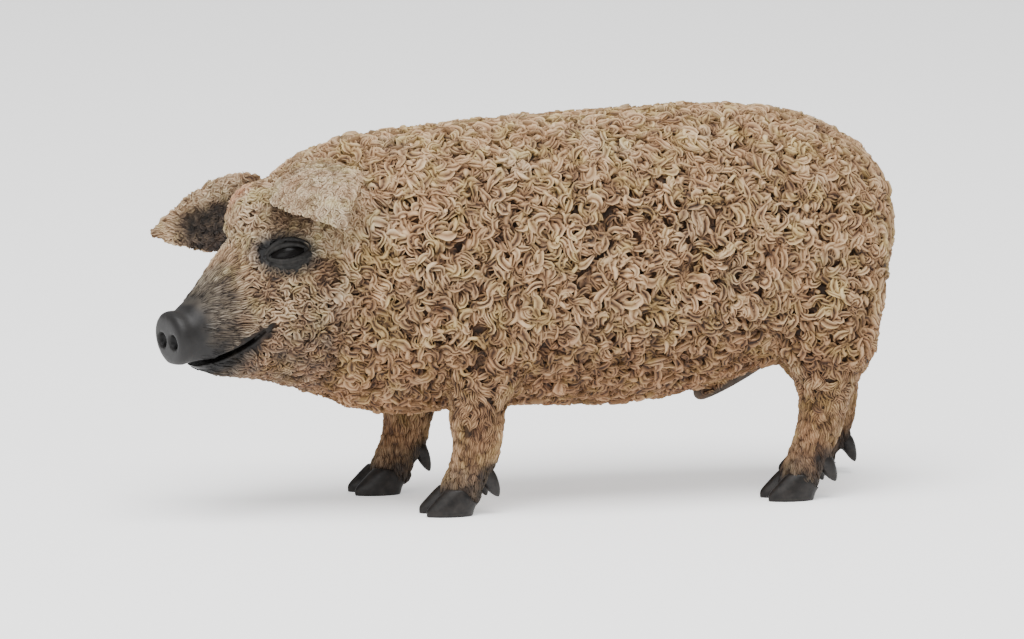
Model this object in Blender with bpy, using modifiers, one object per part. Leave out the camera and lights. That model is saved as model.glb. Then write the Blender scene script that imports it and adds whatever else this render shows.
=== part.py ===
"""Moulded toy figure of a standing mangalica pig, as a set of closed solid pieces.

Metres, +Z up. The pig faces -X, its left side is -Y, and its soles stand on Z = 0.
Sizes in the tables and constants are millimetres, and MM turns them into metres when a mesh is made.
The flesh is one loft from rump to snout, fused with four leg lofts and a few swellings. Curled locks are
fused on it, and the whole is then parted with thin cuts where a person would name the parts.
"""

import math

import bmesh
import bpy
import numpy as np
from mathutils import Matrix, Vector
from mathutils.bvhtree import BVHTree

MM = 0.001
GAP = 0.3  # clearance between two pieces that touch
SEED = 11
MERGE = 0.0005  # points nearer than this are one point

# Trunk sections, rump to neck: x, widest height, reach above it, reach below it, half width,
# roundness above, roundness below. They give the outer surface of the coat.
TRUNK = (
    (58.2, 41.5, 5.4, 5.2, 4.8, 2.0, 2.0),
    (56.6, 41.0, 9.8, 9.8, 9.0, 2.0, 2.0),
    (53.4, 40.3, 14.2, 13.6, 12.4, 2.0, 2.0),
    (49.0, 39.2, 18.2, 17.0, 15.0, 2.0, 2.0),
    (42.0, 38.0, 21.9, 18.2, 17.2, 2.1, 2.0),
    (34.0, 37.0, 24.2, 19.4, 18.3, 2.1, 2.0),
    (24.0, 36.0, 25.4, 20.8, 18.9, 2.1, 2.1),
    (12.0, 35.5, 25.3, 21.4, 18.9, 2.1, 2.1),
    (0.0, 35.5, 24.7, 20.9, 18.4, 2.1, 2.1),
    (-10.0, 35.5, 24.1, 21.0, 17.7, 2.1, 2.1),
    (-20.0, 35.4, 23.3, 21.5, 16.5, 2.1, 2.1),
)
# Neck and head sections by distance ahead of the neck pivot, with the same columns and the share of the
# head's turn that each has.
NECK_PIVOT = (-33.0, 0.0)
HEAD_TURN = math.radians(14)
HEAD = (
    (-5.5, 35.0, 23.0, 19.9, 15.0, 2.1, 2.0, 0.35),
    (0.0, 34.6, 21.8, 17.4, 13.8, 2.0, 2.0, 0.75),
    (4.0, 33.7, 20.6, 15.0, 12.9, 1.9, 2.0, 1.0),
    (8.0, 33.0, 17.3, 13.2, 11.8, 1.9, 2.1, 1.0),
    (12.0, 32.2, 13.2, 11.4, 9.9, 1.9, 2.1, 1.0),
    (16.0, 31.0, 9.4, 9.5, 7.6, 2.0, 2.1, 1.0),
    (20.0, 29.5, 6.5, 6.8, 5.5, 2.1, 2.2, 1.0),
    (23.5, 28.7, 4.8, 4.7, 4.4, 2.1, 2.2, 1.0),
    (27.0, 28.3, 4.3, 4.3, 4.1, 2.1, 2.1, 1.0),
)
BODY_COAT = 1.4  # depth of the curls on the trunk
HEAD_COAT = 0.8
LEG_COAT = 0.5
TRUNK_SIDES = 40
LEG_SIDES = 20
FLESH_VOXEL = 0.8
FLESH_TRIANGLES = 4000
COAT_VOXEL = 0.5
COAT_TRIANGLES = 9100
# Kinds of lock: spacing, length, half width, spread of directions about the lie of the coat in degrees.
LOCKS = {
    "trunk": (5.3, 9.5, 2.0, 75),
    "head": (4.4, 6.6, 1.7, 55),
    "leg": (4.4, 6.0, 1.6, 35),
}
LOCK_SINK = 0.9  # how far a lock's keel lies under the surface
LOCK_BEND = math.radians(42)  # largest turn between two of its sections
LOCK_SHARES = (0.62, 1.0, 0.95, 0.5)  # size of a lock at its four sections
LOCK_FOOT = 0.25  # how far the foot of a lock's flanks lies under the surface
LOCK_TIP = 0.35  # and its two ends
HEAD_FROM = 2.0  # distance ahead of the pivot where the locks of the head start
LEG_BELOW = 13.0  # height under which the locks of the legs start
FOOT_BARE = 5.7  # height under which there are no locks
SAMPLES = 14000  # random points among which the locks' places are picked
# The way that the coat lies: back and down on the trunk, back along the head, down the legs.
LIE = {"trunk": (0.55, 0.0, -0.75), "head": (0.8, 0.0, 0.25), "leg": (0.0, 0.0, -1.0)}
BARE_FROM = 20.0  # distance ahead of the pivot where the muzzle is bare

# Leg sections from the body down: height, x, distance from the middle plane, half length, half width.
FORELEG = (
    (31.0, -9.0, 10.2, 8.6, 6.0),
    (24.0, -9.6, 11.2, 6.8, 5.4),
    (17.5, -10.6, 11.8, 4.8, 4.4),
    (14.5, -11.0, 11.9, 4.4, 4.0),
    (10.8, -10.9, 11.9, 4.0, 3.7),
    (8.2, -11.4, 11.9, 4.0, 3.6),
    (6.2, -12.5, 11.9, 3.8, 3.5),
    (4.4, -13.4, 11.9, 3.4, 3.7),
    (2.0, -14.0, 11.9, 3.4, 3.7),
)
HINDLEG_LEFT = (
    (34.0, 44.4, 8.8, 10.8, 8.0),
    (28.0, 44.8, 10.0, 9.6, 7.2),
    (22.5, 45.6, 11.0, 7.2, 6.0),
    (18.5, 45.6, 11.6, 5.2, 4.9),
    (15.0, 45.2, 11.8, 4.1, 4.3),
    (11.5, 44.5, 11.9, 3.7, 3.9),
    (8.5, 43.4, 11.9, 3.7, 3.7),
    (6.4, 42.3, 11.9, 3.6, 3.6),
    (4.6, 41.3, 11.9, 3.2, 3.6),
    (2.0, 40.6, 11.9, 3.2, 3.7),
)
HINDLEG_RIGHT = (
    (34.0, 44.4, 8.8, 10.8, 8.0),
    (28.0, 45.4, 10.0, 9.6, 7.2),
    (22.5, 48.6, 11.0, 8.0, 6.0),
    (18.5, 51.6, 11.6, 6.7, 4.9),
    (15.0, 53.3, 11.8, 5.5, 4.3),
    (11.5, 54.2, 11.9, 4.2, 3.9),
    (8.5, 54.4, 11.9, 3.9, 3.7),
    (6.4, 53.4, 11.9, 3.8, 3.6),
    (4.6, 52.0, 11.9, 3.2, 3.6),
    (2.0, 51.4, 11.9, 3.2, 3.7),
)
# Each leg: its sections, side (-1 left, +1 right), how far the foot steps along x, hoof centre x, and how
# far its dewclaws sit back and up from their usual place. The step fades out between two heights.
LEGS = {
    "foreleg_left": (FORELEG, -1, 0.0, -15.7, (0.3, 0.0)),
    "foreleg_right": (FORELEG, 1, -4.5, -20.5, (1.7, 1.0)),
    "hindleg_left": (HINDLEG_LEFT, -1, 0.0, 39.3, (-0.2, 0.0)),
    "hindleg_right": (HINDLEG_RIGHT, 1, 0.0, 50.2, (1.0, -0.5)),
}
STEP_FULL = 10.0
STEP_NONE = 25.0
FOOT_OUT = 11.9  # distance of a foot's middle from the middle plane
HOOF_TOP = 4.1  # height of the leg's lowest face, above the claws
# Claw sections from sole to top: height, how far the middle lies back, half length, half width.
CLAW = (
    (0.0, 0.0, 3.95, 1.65),
    (1.2, 0.2, 4.1, 1.8),
    (2.7, 1.0, 3.6, 1.75),
    (3.8, 1.4, 3.15, 1.65),
)
CLAW_SIDE = 2.1  # distance of a claw's middle from the foot's middle
# Dewclaws, outer and inner: root and tip behind the hoof's middle and their heights, side, root radius.
DEWCLAWS = (
    ("outer", (5.4, 7.2), (7.8, 2.7), 1.9, 1.3),
    ("inner", (5.1, 6.8), (6.9, 2.3), -1.9, 1.0),
)

# Swellings fused in the flesh: centre, radii. A pair is mirrored to the other side.
SWELLINGS = (
    ((-9.5, 9.6, 29.0), (9.5, 7.8, 15.0)),
    ((45.4, 8.6, 35.0), (11.6, 8.2, 15.5)),
)
SHEATH = ((37.0, 0.0, 20.6), (28.4, 0.0, 15.6), 2.4)

SNOUT_CUT = 24.0  # distance ahead of the pivot where the snout disc starts
DISC_RADII = (4.7, 4.35)
DISC_RISE = 28.15
DISC_LEAN = math.radians(8)
DISC_PROFILE = ((0.0, 0.88), (0.9, 1.0), (1.7, 0.97), (2.25, 0.82), (2.25, 0.6))  # height, share of radius
DISC_MIDDLE = 2.05  # height of the dished middle
NOSTRIL_SIDE = 1.75
NOSTRIL_RADII = (1.05, 1.2)
NOSTRIL_UP = 0.2
NOSTRIL_DEPTH = 1.3

# The line of the mouth in the head's side view: distance ahead of the pivot, height.
MOUTH = (
    (27.0, 22.4),
    (22.1, 23.7),
    (20.3, 24.2),
    (18.7, 24.9),
    (16.9, 25.9),
    (15.0, 27.4),
    (13.9, 28.6),
    (13.2, 29.3),
)
MOUTH_OPEN = 0.8
JAW_HALF = 16.0  # half width of the block that parts the jaw, wider than the head
JAW_BACK = 12.0
JAW_FLOOR = 12.0

EYE_AHEAD = 10.1
EYE_RISE = 41.3
EYE_RADII = (2.6, 1.6, 1.5)  # along the slit, across it, out of the head
EYE_TILT = math.radians(3)
LID_RADII = (3.1, 1.75)
LID_THICK = 0.75
EYE_SINK = 0.55  # how far the eye's middle lies under the head's surface

# Ears: middle of the root, tip, direction across the blade, half width, side that the back of the ear
# faces, height of the blade's arch.
EARS = {
    "ear_left": ((-36.8, -5.0, 52.6), (-34.6, -22.5, 45.8), (0.93, 0.0, 0.36), 7.6, (0.0, 0.0, 1.0), 2.6),
    "ear_right": ((-38.9, 7.6, 46.5), (-55.0, 18.8, 40.9), (0.1, 0.1, 1.0), 5.4, (0.6, 0.8, 0.2), 0.3),
}
# Blade of an ear: share of the way to the tip, share of the half width, thickness.
EAR_BLADE = (
    (0.0, 0.78, 2.2),
    (0.14, 0.94, 1.9),
    (0.32, 1.0, 1.6),
    (0.52, 0.86, 1.4),
    (0.72, 0.6, 1.25),
    (0.88, 0.34, 1.1),
    (1.0, 0.1, 0.7),
)
EAR_CUP = 2.2

TAIL = ((54.5, 2.0, 49.0), (58.4, 2.6, 46.4), (59.8, 3.0, 42.0), (59.4, 3.2, 37.5), (58.9, 3.4, 33.0))
TAIL_RADII = (1.5, 1.4, 1.3, 1.6, 0.8)

# Planes that part the body: a point on each and the direction that the piece ahead lies in.
NECK_PLANE = ((-20.5, 0.0, 35.0), (-1.0, 0.0, 0.12))
SHOULDER_PLANE = ((4.5, 0.0, 35.0), (-1.0, 0.0, 0.0))
FLANK_PLANE = ((29.0, 0.0, 36.0), (-0.979, 0.0, 0.204))
HEAD_CUT = -2.0  # distance ahead of the neck pivot
# Domed cells that part the legs: centre and radii, on the left side. The foot's step moves them.
LEG_CELLS = {
    "foreleg_left": ((-10.5, -16.0, 6.0), (12.5, 14.3, 27.0)),
    "foreleg_right": ((-12.8, 16.0, 6.0), (12.5, 14.3, 27.0)),
    "hindleg_left": ((46.2, -16.0, 6.0), (13.2, 14.3, 37.0)),
    "hindleg_right": ((49.2, 16.0, 6.0), (14.0, 14.3, 37.0)),
}

COAT_COLOUR = (0.47, 0.35, 0.23)
SNOUT_COLOUR = (0.12, 0.11, 0.11)
HOOF_COLOUR = (0.045, 0.04, 0.038)
EYE_COLOUR = (0.01, 0.009, 0.009)


# Plain mesh tools


def clear_scene():
    for obj in list(bpy.data.objects):
        bpy.data.objects.remove(obj)


def new_collection(name):
    collection = bpy.data.collections.new(name)
    bpy.context.scene.collection.children.link(collection)
    return collection


def new_material(name, colour, roughness):
    material = bpy.data.materials.new(name)
    material.use_nodes = True
    shader = material.node_tree.nodes["Principled BSDF"]
    shader.inputs["Base Color"].default_value = (*colour, 1.0)
    shader.inputs["Roughness"].default_value = roughness
    shader.inputs["Metallic"].default_value = 0.0
    return material


def object_from(name, points, faces, collection):
    """A closed mesh object from points in millimetres, with its faces turned outwards."""
    mesh = bpy.data.meshes.new(name)
    mesh.from_pydata((np.asarray(points) * MM).tolist(), [], [list(map(int, f)) for f in faces])
    shape = bmesh.new()
    shape.from_mesh(mesh)
    bmesh.ops.recalc_face_normals(shape, faces=shape.faces)
    shape.to_mesh(mesh)
    shape.free()
    obj = bpy.data.objects.new(name, mesh)
    collection.objects.link(obj)
    return obj


def grid_faces(rings, sides):
    """Faces of a closed tube of rings, each ring joined to the next, with a fan to a pole at both ends.
    The poles are the last two points."""
    first, last = rings * sides, rings * sides + 1
    faces = []
    for i in range(rings - 1):
        for j in range(sides):
            k = (j + 1) % sides
            faces.append((i * sides + j, i * sides + k, (i + 1) * sides + k, (i + 1) * sides + j))
    for j in range(sides):
        k = (j + 1) % sides
        faces.append((first, k, j))
        faces.append((last, (rings - 1) * sides + j, (rings - 1) * sides + k))
    return faces


def tube_object(name, rings, collection, poles=None):
    """A closed solid from an array of rings, shaped (rings, sides, 3)."""
    count, sides = rings.shape[:2]
    ends = poles if poles is not None else (rings[0].mean(0), rings[-1].mean(0))
    points = np.vstack((rings.reshape(-1, 3), ends))
    return object_from(name, points, grid_faces(count, sides), collection)


def ellipsoid(name, centre, radii, collection, turn=None, segments=20):
    """A closed ellipsoid with its own turn."""
    mesh = bpy.data.meshes.new(name)
    shape = bmesh.new()
    bmesh.ops.create_uvsphere(shape, u_segments=segments, v_segments=segments // 2, radius=1.0)
    scale = Matrix.Diagonal(Vector(radii).to_4d() * MM)
    scale[3][3] = 1.0
    place = Matrix.Translation(Vector(centre) * MM) @ (turn or Matrix.Identity(4)) @ scale
    bmesh.ops.transform(shape, matrix=place, verts=shape.verts)
    shape.to_mesh(mesh)
    shape.free()
    obj = bpy.data.objects.new(name, mesh)
    collection.objects.link(obj)
    return obj


def evaluated_copy(obj):
    """The mesh of an object with its modifiers applied."""
    graph = bpy.context.evaluated_depsgraph_get()
    graph.update()
    return bpy.data.meshes.new_from_object(obj.evaluated_get(graph))


def apply_modifiers(obj):
    mesh = evaluated_copy(obj)
    obj.modifiers.clear()
    obj.data = mesh
    return obj


def boolean(obj, others, operation):
    """Joins, cuts or meets obj with the other objects in one step, and removes the others."""
    group = bpy.data.collections.new("operands")
    for other in others:
        group.objects.link(other)
    step = obj.modifiers.new(operation, "BOOLEAN")
    step.operation = operation
    step.solver = "MANIFOLD"
    step.operand_type = "COLLECTION"
    step.collection = group
    apply_modifiers(obj)
    for other in others:
        bpy.data.objects.remove(other)
    bpy.data.collections.remove(group)
    return obj


def copy_of(obj, name, collection):
    """A second object with its own copy of the mesh."""
    twin = bpy.data.objects.new(name, obj.data.copy())
    twin.matrix_world = obj.matrix_world
    collection.objects.link(twin)
    return twin


def largest_surface(obj):
    """Keeps only the closed surface with the most faces' area, which drops scraps and sealed hollows."""
    shape = bmesh.new()
    shape.from_mesh(obj.data)
    bmesh.ops.remove_doubles(shape, verts=shape.verts, dist=MERGE * MM)
    left = set(shape.faces)
    surfaces = []
    while left:
        seed = left.pop()
        island, front = {seed}, [seed]
        while front:
            for edge in front.pop().edges:
                for face in edge.link_faces:
                    if face in left:
                        left.discard(face)
                        island.add(face)
                        front.append(face)
        surfaces.append(island)
    keep = max(surfaces, key=lambda island: sum(face.calc_area() for face in island))
    bmesh.ops.delete(shape, geom=[face for face in shape.faces if face not in keep], context="FACES")
    shape.to_mesh(obj.data)
    shape.free()
    return obj


def box(name, low, high, collection):
    """An axis-aligned block between two corners in millimetres."""
    low, high = Vector(low) * MM, Vector(high) * MM
    mesh = bpy.data.meshes.new(name)
    shape = bmesh.new()
    bmesh.ops.create_cube(shape, size=1.0)
    size = high - low
    place = Matrix.Translation((low + high) / 2) @ Matrix.Diagonal((*size, 1.0))
    bmesh.ops.transform(shape, matrix=place, verts=shape.verts)
    shape.to_mesh(mesh)
    shape.free()
    obj = bpy.data.objects.new(name, mesh)
    collection.objects.link(obj)
    return obj


def split(obj, point, normal, ahead_name, collection, gap=GAP):
    """Parts obj at a plane. The side that the normal points to becomes a new object, with a gap between."""
    point, normal = Vector(point) * MM, Vector(normal).normalized()
    ahead = copy_of(obj, ahead_name, collection)
    for piece, sign in ((ahead, 1.0), (obj, -1.0)):
        shape = bmesh.new()
        shape.from_mesh(piece.data)
        plane = point + normal * (sign * gap * MM / 2)
        geometry = shape.verts[:] + shape.edges[:] + shape.faces[:]
        cut = bmesh.ops.bisect_plane(
            shape, geom=geometry, plane_co=plane, plane_no=normal * sign, clear_inner=True
        )
        rim = [item for item in cut["geom_cut"] if isinstance(item, bmesh.types.BMEdge)]
        bmesh.ops.holes_fill(shape, edges=rim)
        bmesh.ops.triangulate(shape, faces=shape.faces[:])
        shape.to_mesh(piece.data)
        shape.free()
    return ahead


# The flesh


def smooth_rows(rows, steps):
    """Rows between the given ones on a smooth curve through them, with steps in each span."""
    rows = np.array(rows, float)
    slopes = np.gradient(rows, axis=0)
    t = np.linspace(0, 1, steps, endpoint=False)[:, None]
    spans = [
        (2 * t**3 - 3 * t**2 + 1) * rows[i]
        + (t**3 - 2 * t**2 + t) * slopes[i]
        + (3 * t**2 - 2 * t**3) * rows[i + 1]
        + (t**3 - t**2) * slopes[i + 1]
        for i in range(len(rows) - 1)
    ]
    return np.vstack((*spans, rows[-1:]))


def head_place(ahead, side, rise):
    """The point a distance ahead of the neck pivot, to the pig's right by side, at a height."""
    return np.array(
        (
            NECK_PIVOT[0] - math.cos(HEAD_TURN) * ahead - math.sin(HEAD_TURN) * side,
            NECK_PIVOT[1] - math.sin(HEAD_TURN) * ahead + math.cos(HEAD_TURN) * side,
            rise,
        )
    )


def body_rows():
    """Sections from rump to snout: x, y, turn, widest height, up, down, half width, two powers, coat."""
    rows = [(x, 0.0, 0.0, *sizes, BODY_COAT) for x, *sizes in TRUNK]
    for ahead, *sizes, share in HEAD:
        x, y, _ = head_place(ahead, 0, 0)
        y *= min(1.0, max(ahead, 0.0) / 4)
        fade = min(1.0, max(0.0, (BARE_FROM - ahead) / 8))
        coat = HEAD_COAT * fade if ahead > HEAD_FROM else BODY_COAT
        rows.append((x, y, HEAD_TURN * share, *sizes, coat))
    return np.array(rows)


def section_ring(row, sides):
    """A rounded section, the curve |side|^p + |rise|^p = 1 stretched to its reach, less the coat."""
    x, y, turn, mid, up, down, half, up_power, down_power, coat = row
    angle = np.linspace(0, 2 * math.pi, sides, endpoint=False)
    across, along = np.cos(angle), np.sin(angle)
    power = np.where(along > 0, up_power, down_power)
    reach = (np.abs(across) ** power + np.abs(along) ** power) ** (-1 / power)
    inset = coat
    side = across * reach * (half - inset)
    rise = along * reach * (np.where(along > 0, up, down) - inset)
    return np.stack((x - math.sin(turn) * side, y + math.cos(turn) * side, mid + rise), -1)


def leg_rows(rows, step, steps):
    """Leg sections with the foot's step added, fading out towards the body."""
    rows = np.array(rows, float)
    share = np.clip((STEP_NONE - rows[:, 0]) / (STEP_NONE - STEP_FULL), 0, 1)
    rows[:, 1] += step * share * share * (3 - 2 * share)
    return smooth_rows(rows, steps)


def leg_object(name, rows, side, step, collection):
    """A leg as level elliptical sections, inside its outline by the coat."""
    angle = np.linspace(0, 2 * math.pi, LEG_SIDES, endpoint=False)
    rings = []
    for height, x, out, long, wide in leg_rows(rows, step, 4):
        ring = (x + np.cos(angle) * (long - LEG_COAT), side * out + np.sin(angle) * (wide - LEG_COAT))
        rings.append(np.stack((*ring, np.full(LEG_SIDES, height)), -1))
    return tube_object(name, np.array(rings), collection)


def capsule(name, start, end, radius, collection, sides=14):
    """A straight rod with round ends."""
    start, end = np.array(start), np.array(end)
    axis = (end - start) / np.linalg.norm(end - start)
    across = np.cross(axis, (0, 1, 0))
    across /= np.linalg.norm(across)
    other = np.cross(axis, across)
    angle = np.linspace(0, 2 * math.pi, sides, endpoint=False)
    circle = np.cos(angle)[:, None] * across + np.sin(angle)[:, None] * other
    rings = []
    for base, way in ((start, -1), (end, 1)):
        turns = np.radians((70, 40, 0)) if way < 0 else np.radians((0, 40, 70))
        rings += [base + way * axis * radius * math.sin(a) + circle * radius * math.cos(a) for a in turns]
    poles = (start - axis * radius, end + axis * radius)
    return tube_object(name, np.array(rings), collection, poles)


def reskin(obj, voxel, rounds, triangles):
    """Covers a solid with one even skin, smooths it and thins it to a number of triangles."""
    skin = obj.modifiers.new("skin", "REMESH")
    skin.mode = "VOXEL"
    skin.voxel_size = voxel * MM
    blend = obj.modifiers.new("blend", "SMOOTH")
    blend.factor = 0.5
    blend.iterations = rounds
    apply_modifiers(obj)
    obj.data.calc_loop_triangles()
    thin = obj.modifiers.new("thin", "DECIMATE")
    thin.ratio = triangles / len(obj.data.loop_triangles)
    return apply_modifiers(obj)


def make_flesh(collection):
    """One closed surface of trunk, head and legs: the shapes are fused, blended and thinned out."""
    rings = np.array([section_ring(row, TRUNK_SIDES) for row in smooth_rows(body_rows(), 3)])
    tip = np.array([TRUNK[0][0] + 0.5, 0.0, TRUNK[0][1]])
    flesh = tube_object("flesh", rings, collection, (tip, rings[-1].mean(0)))
    parts = [
        leg_object("leg", rows, side, step, collection) for rows, side, step, *_ in LEGS.values()
    ]
    for centre, radii in SWELLINGS:
        for side in (-1, 1):
            inner = [radius - BODY_COAT for radius in radii]
            place = (centre[0], side * centre[1], centre[2])
            parts.append(ellipsoid("swelling", place, inner, collection))
    parts.append(capsule("sheath", *SHEATH, collection))
    boolean(flesh, parts, "UNION")
    return reskin(flesh, FLESH_VOXEL, 8, FLESH_TRIANGLES)


# Features of the head


def surface_tree(obj):
    """A search tree over an object's faces."""
    shape = bmesh.new()
    shape.from_mesh(obj.data)
    tree = BVHTree.FromBMesh(shape)
    shape.free()
    return tree


def eye_frame(tree, side):
    """Where an eye sits: the point on the head's side, and the turn with z outwards and x along the slit."""
    start = head_place(EYE_AHEAD, side * 20, EYE_RISE)
    middle = head_place(EYE_AHEAD, 0, EYE_RISE)
    point, normal, _, _ = tree.ray_cast(Vector(start) * MM, Vector(middle - start).normalized())
    along = Vector(head_place(1, 0, 0) - head_place(0, 0, 0))
    along = (along - normal * along.dot(normal)).normalized()
    across = normal.cross(along)
    turn = Matrix((along, across, normal)).transposed().to_4x4()
    return point, turn @ Matrix.Rotation(side * EYE_TILT, 4, "Z")


def ring_ridge(name, place, turn, radii, thick, collection):
    """A closed lid ridge: an elliptical ring of round section around the eye."""
    around = np.linspace(0, 2 * math.pi, 16, endpoint=False)
    section = np.linspace(0, 2 * math.pi, 5, endpoint=False)
    a, b = np.meshgrid(around, section, indexing="ij")
    points = np.stack(
        (
            np.cos(a) * (radii[0] + thick * np.cos(b)),
            np.sin(a) * (radii[1] + thick * np.cos(b)),
            thick * np.sin(b),
        ),
        -1,
    ).reshape(-1, 3)
    count, sides = a.shape
    faces = [
        (i * sides + j, (i + 1) % count * sides + j, (i + 1) % count * sides + (j + 1) % sides,
         i * sides + (j + 1) % sides)
        for i in range(count)
        for j in range(sides)
    ]
    rotation = np.array(turn.to_3x3())
    return object_from(name, points @ rotation.T + np.array(place) / MM, faces, collection)


def ear_rings(name, margin):
    """An ear as a cupped leaf that arches over and down. A margin makes the slot that it sits in."""
    root, tip, across, half, back, arch = EARS[name]
    root, tip = np.array(root), np.array(tip)
    long = tip - root
    across = np.array(across) - long * np.dot(across, long) / np.dot(long, long)
    across /= np.linalg.norm(across)
    up = np.cross(long, across)
    up *= np.sign(np.dot(up, back)) / np.linalg.norm(up)
    v = np.concatenate((np.linspace(-1, 1, 7), np.linspace(1, -1, 7)[1:-1]))
    face = np.concatenate((np.ones(7), -np.ones(5)))
    face[[0, 6]] = 0
    rings = []
    for share, width, thick in EAR_BLADE:
        middle = root + long * share + up * arch * 4 * share * (1 - share)
        body = (thick / 2) * np.sqrt(np.clip(1.15 - v * v, 0.1, None)) + margin
        drop = -EAR_CUP * width * v * v + face * body
        ring = middle + np.outer(v * (width * half + margin), across) + np.outer(drop, up)
        rings.append(ring)
    ends = (rings[0].mean(0) - long * (0.01 + margin / 20), rings[-1].mean(0) + long * (0.01 + margin / 20))
    return np.array(rings), ends


def head_slab(name, outline, half, collection):
    """A block with the given outline in the head's side view, half its width to each side."""
    rings = [[head_place(ahead, side, rise) for ahead, rise in outline] for side in (-half, half)]
    count = len(outline)
    faces = [tuple(range(count)), tuple(range(count, 2 * count))]
    faces += [(i, (i + 1) % count, count + (i + 1) % count, count + i) for i in range(count)]
    return object_from(name, np.array(rings).reshape(-1, 3), faces, collection)


def part_jaw(head, collection):
    """Parts the lower jaw from the head along the line of the mouth, open a little towards the snout."""
    mouth = np.array(MOUTH)
    back = (JAW_BACK, JAW_FLOOR)
    front = (mouth[0][0], JAW_FLOOR)
    jaw = copy_of(head, "lower_jaw", collection)
    boolean(jaw, [head_slab("jaw_cell", [*MOUTH, back, front], JAW_HALF, collection)], "INTERSECT")
    share = np.linspace(1, 0, len(mouth))
    lip = mouth + np.stack((np.zeros(len(mouth)), GAP + (MOUTH_OPEN - GAP) * np.sin(share * math.pi)), -1)
    lip[-1] += (-GAP, GAP / 2)
    outline = [*map(tuple, lip), (JAW_BACK - GAP, JAW_FLOOR), front]
    boolean(head, [head_slab("jaw_space", outline, JAW_HALF + 1, collection)], "DIFFERENCE")
    return largest_surface(jaw)


def snout_frame():
    """The middle of the snout disc's back face and the turn that makes z the way it faces."""
    ahead = Vector(head_place(1, 0, 0) - head_place(0, 0, 0))
    side = Vector(head_place(0, 1, 0) - head_place(0, 0, 0))
    facing = (ahead * math.cos(DISC_LEAN) - Vector((0, 0, math.sin(DISC_LEAN)))).normalized()
    return Vector(head_place(SNOUT_CUT, 0, DISC_RISE)) * MM, Matrix(
        (side, facing.cross(side), facing)
    ).transposed().to_4x4()


def snout_disc(collection):
    """The disc of the snout: a rounded plate with two nostrils sunk in its face."""
    place, turn = snout_frame()
    rotation = np.array(turn.to_3x3())
    angle = np.linspace(0, 2 * math.pi, 24, endpoint=False)
    rings = [
        np.stack((np.cos(angle) * DISC_RADII[0] * r, np.sin(angle) * DISC_RADII[1] * r, np.full(24, h)), -1)
        for h, r in DISC_PROFILE
    ]
    rings = np.array(rings) @ rotation.T + np.array(place) / MM
    poles = np.array(((0, 0, 0.0), (0, 0, DISC_MIDDLE))) @ rotation.T + np.array(place) / MM
    disc = tube_object("snout_disc", rings, collection, poles)
    holes = []
    for side in (-1, 1):
        centre = rotation @ (side * NOSTRIL_SIDE, NOSTRIL_UP, DISC_PROFILE[-1][0]) + np.array(place) / MM
        radii = (*NOSTRIL_RADII, NOSTRIL_DEPTH)
        holes.append(ellipsoid("nostril", centre, radii, collection, turn, 10))
    return boolean(disc, holes, "DIFFERENCE")


# Hooves and tail


def claw(name, centre, collection):
    """One claw of a hoof: flat sole, pointed front, its top sloping back to the coat."""
    angle = np.linspace(0, 2 * math.pi, 14, endpoint=False)
    rings = []
    for height, back, long, wide in CLAW:
        taper = 1 - 0.35 * np.clip(-np.cos(angle), 0, 1) ** 2
        ring = (centre[0] + back + np.cos(angle) * long, centre[1] + np.sin(angle) * wide * taper)
        rings.append(np.stack((*ring, np.full(14, height)), -1))
    return tube_object(name, np.array(rings), collection)


def cone_rod(name, root, tip, radius, margin, collection):
    """A dewclaw: a blunt cone from its sunk root to its tip. A margin makes the hole that it sits in."""
    root, tip = np.array(root), np.array(tip)
    axis = (tip - root) / np.linalg.norm(tip - root)
    across = np.cross(axis, (0, 1, 0))
    across /= np.linalg.norm(across)
    angle = np.linspace(0, 2 * math.pi, 8, endpoint=False)
    circle = np.cos(angle)[:, None] * across + np.sin(angle)[:, None] * np.cross(axis, across)
    rings = []
    for share, size in ((0.0, 0.9), (0.45, 1.0), (0.78, 0.66), (0.95, 0.3)):
        rings.append(root + (tip - root) * share + circle * (radius * size + margin))
    poles = (root - axis * margin, tip + axis * margin)
    return tube_object(name, np.array(rings), collection, poles)


def tail_object(name, margin, collection):
    """The tail: a bent tapering rod that hangs close to the rump."""
    route = smooth_rows(np.column_stack((TAIL, TAIL_RADII)), 2)
    ways = np.gradient(route[:, :3], axis=0)
    ways /= np.linalg.norm(ways, axis=1)[:, None]
    angle = np.linspace(0, 2 * math.pi, 8, endpoint=False)
    rings = []
    for (x, y, z, radius), way in zip(route, ways):
        across = np.cross(way, (0, 1, 0))
        across /= np.linalg.norm(across)
        circle = np.cos(angle)[:, None] * across + np.sin(angle)[:, None] * np.cross(way, across)
        rings.append(np.array((x, y, z)) + circle * (radius + margin))
    poles = (rings[0].mean(0) - ways[0] * (0.4 + margin), rings[-1].mean(0) + ways[-1] * (0.5 + margin))
    return tube_object(name, np.array(rings), collection, poles)


# Locks


def lock_kind(point):
    """Which kind of lock grows at a place, and the depth of the coat. None where the figure is bare."""
    x, y, z = point
    ahead = -(x - NECK_PIVOT[0]) * math.cos(HEAD_TURN) - (y - NECK_PIVOT[1]) * math.sin(HEAD_TURN)
    if ahead > BARE_FROM or z < FOOT_BARE:
        return None
    if ahead > HEAD_FROM:
        return "head", HEAD_COAT
    if z < LEG_BELOW:
        return "leg", LEG_COAT
    return "trunk", BODY_COAT


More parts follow.
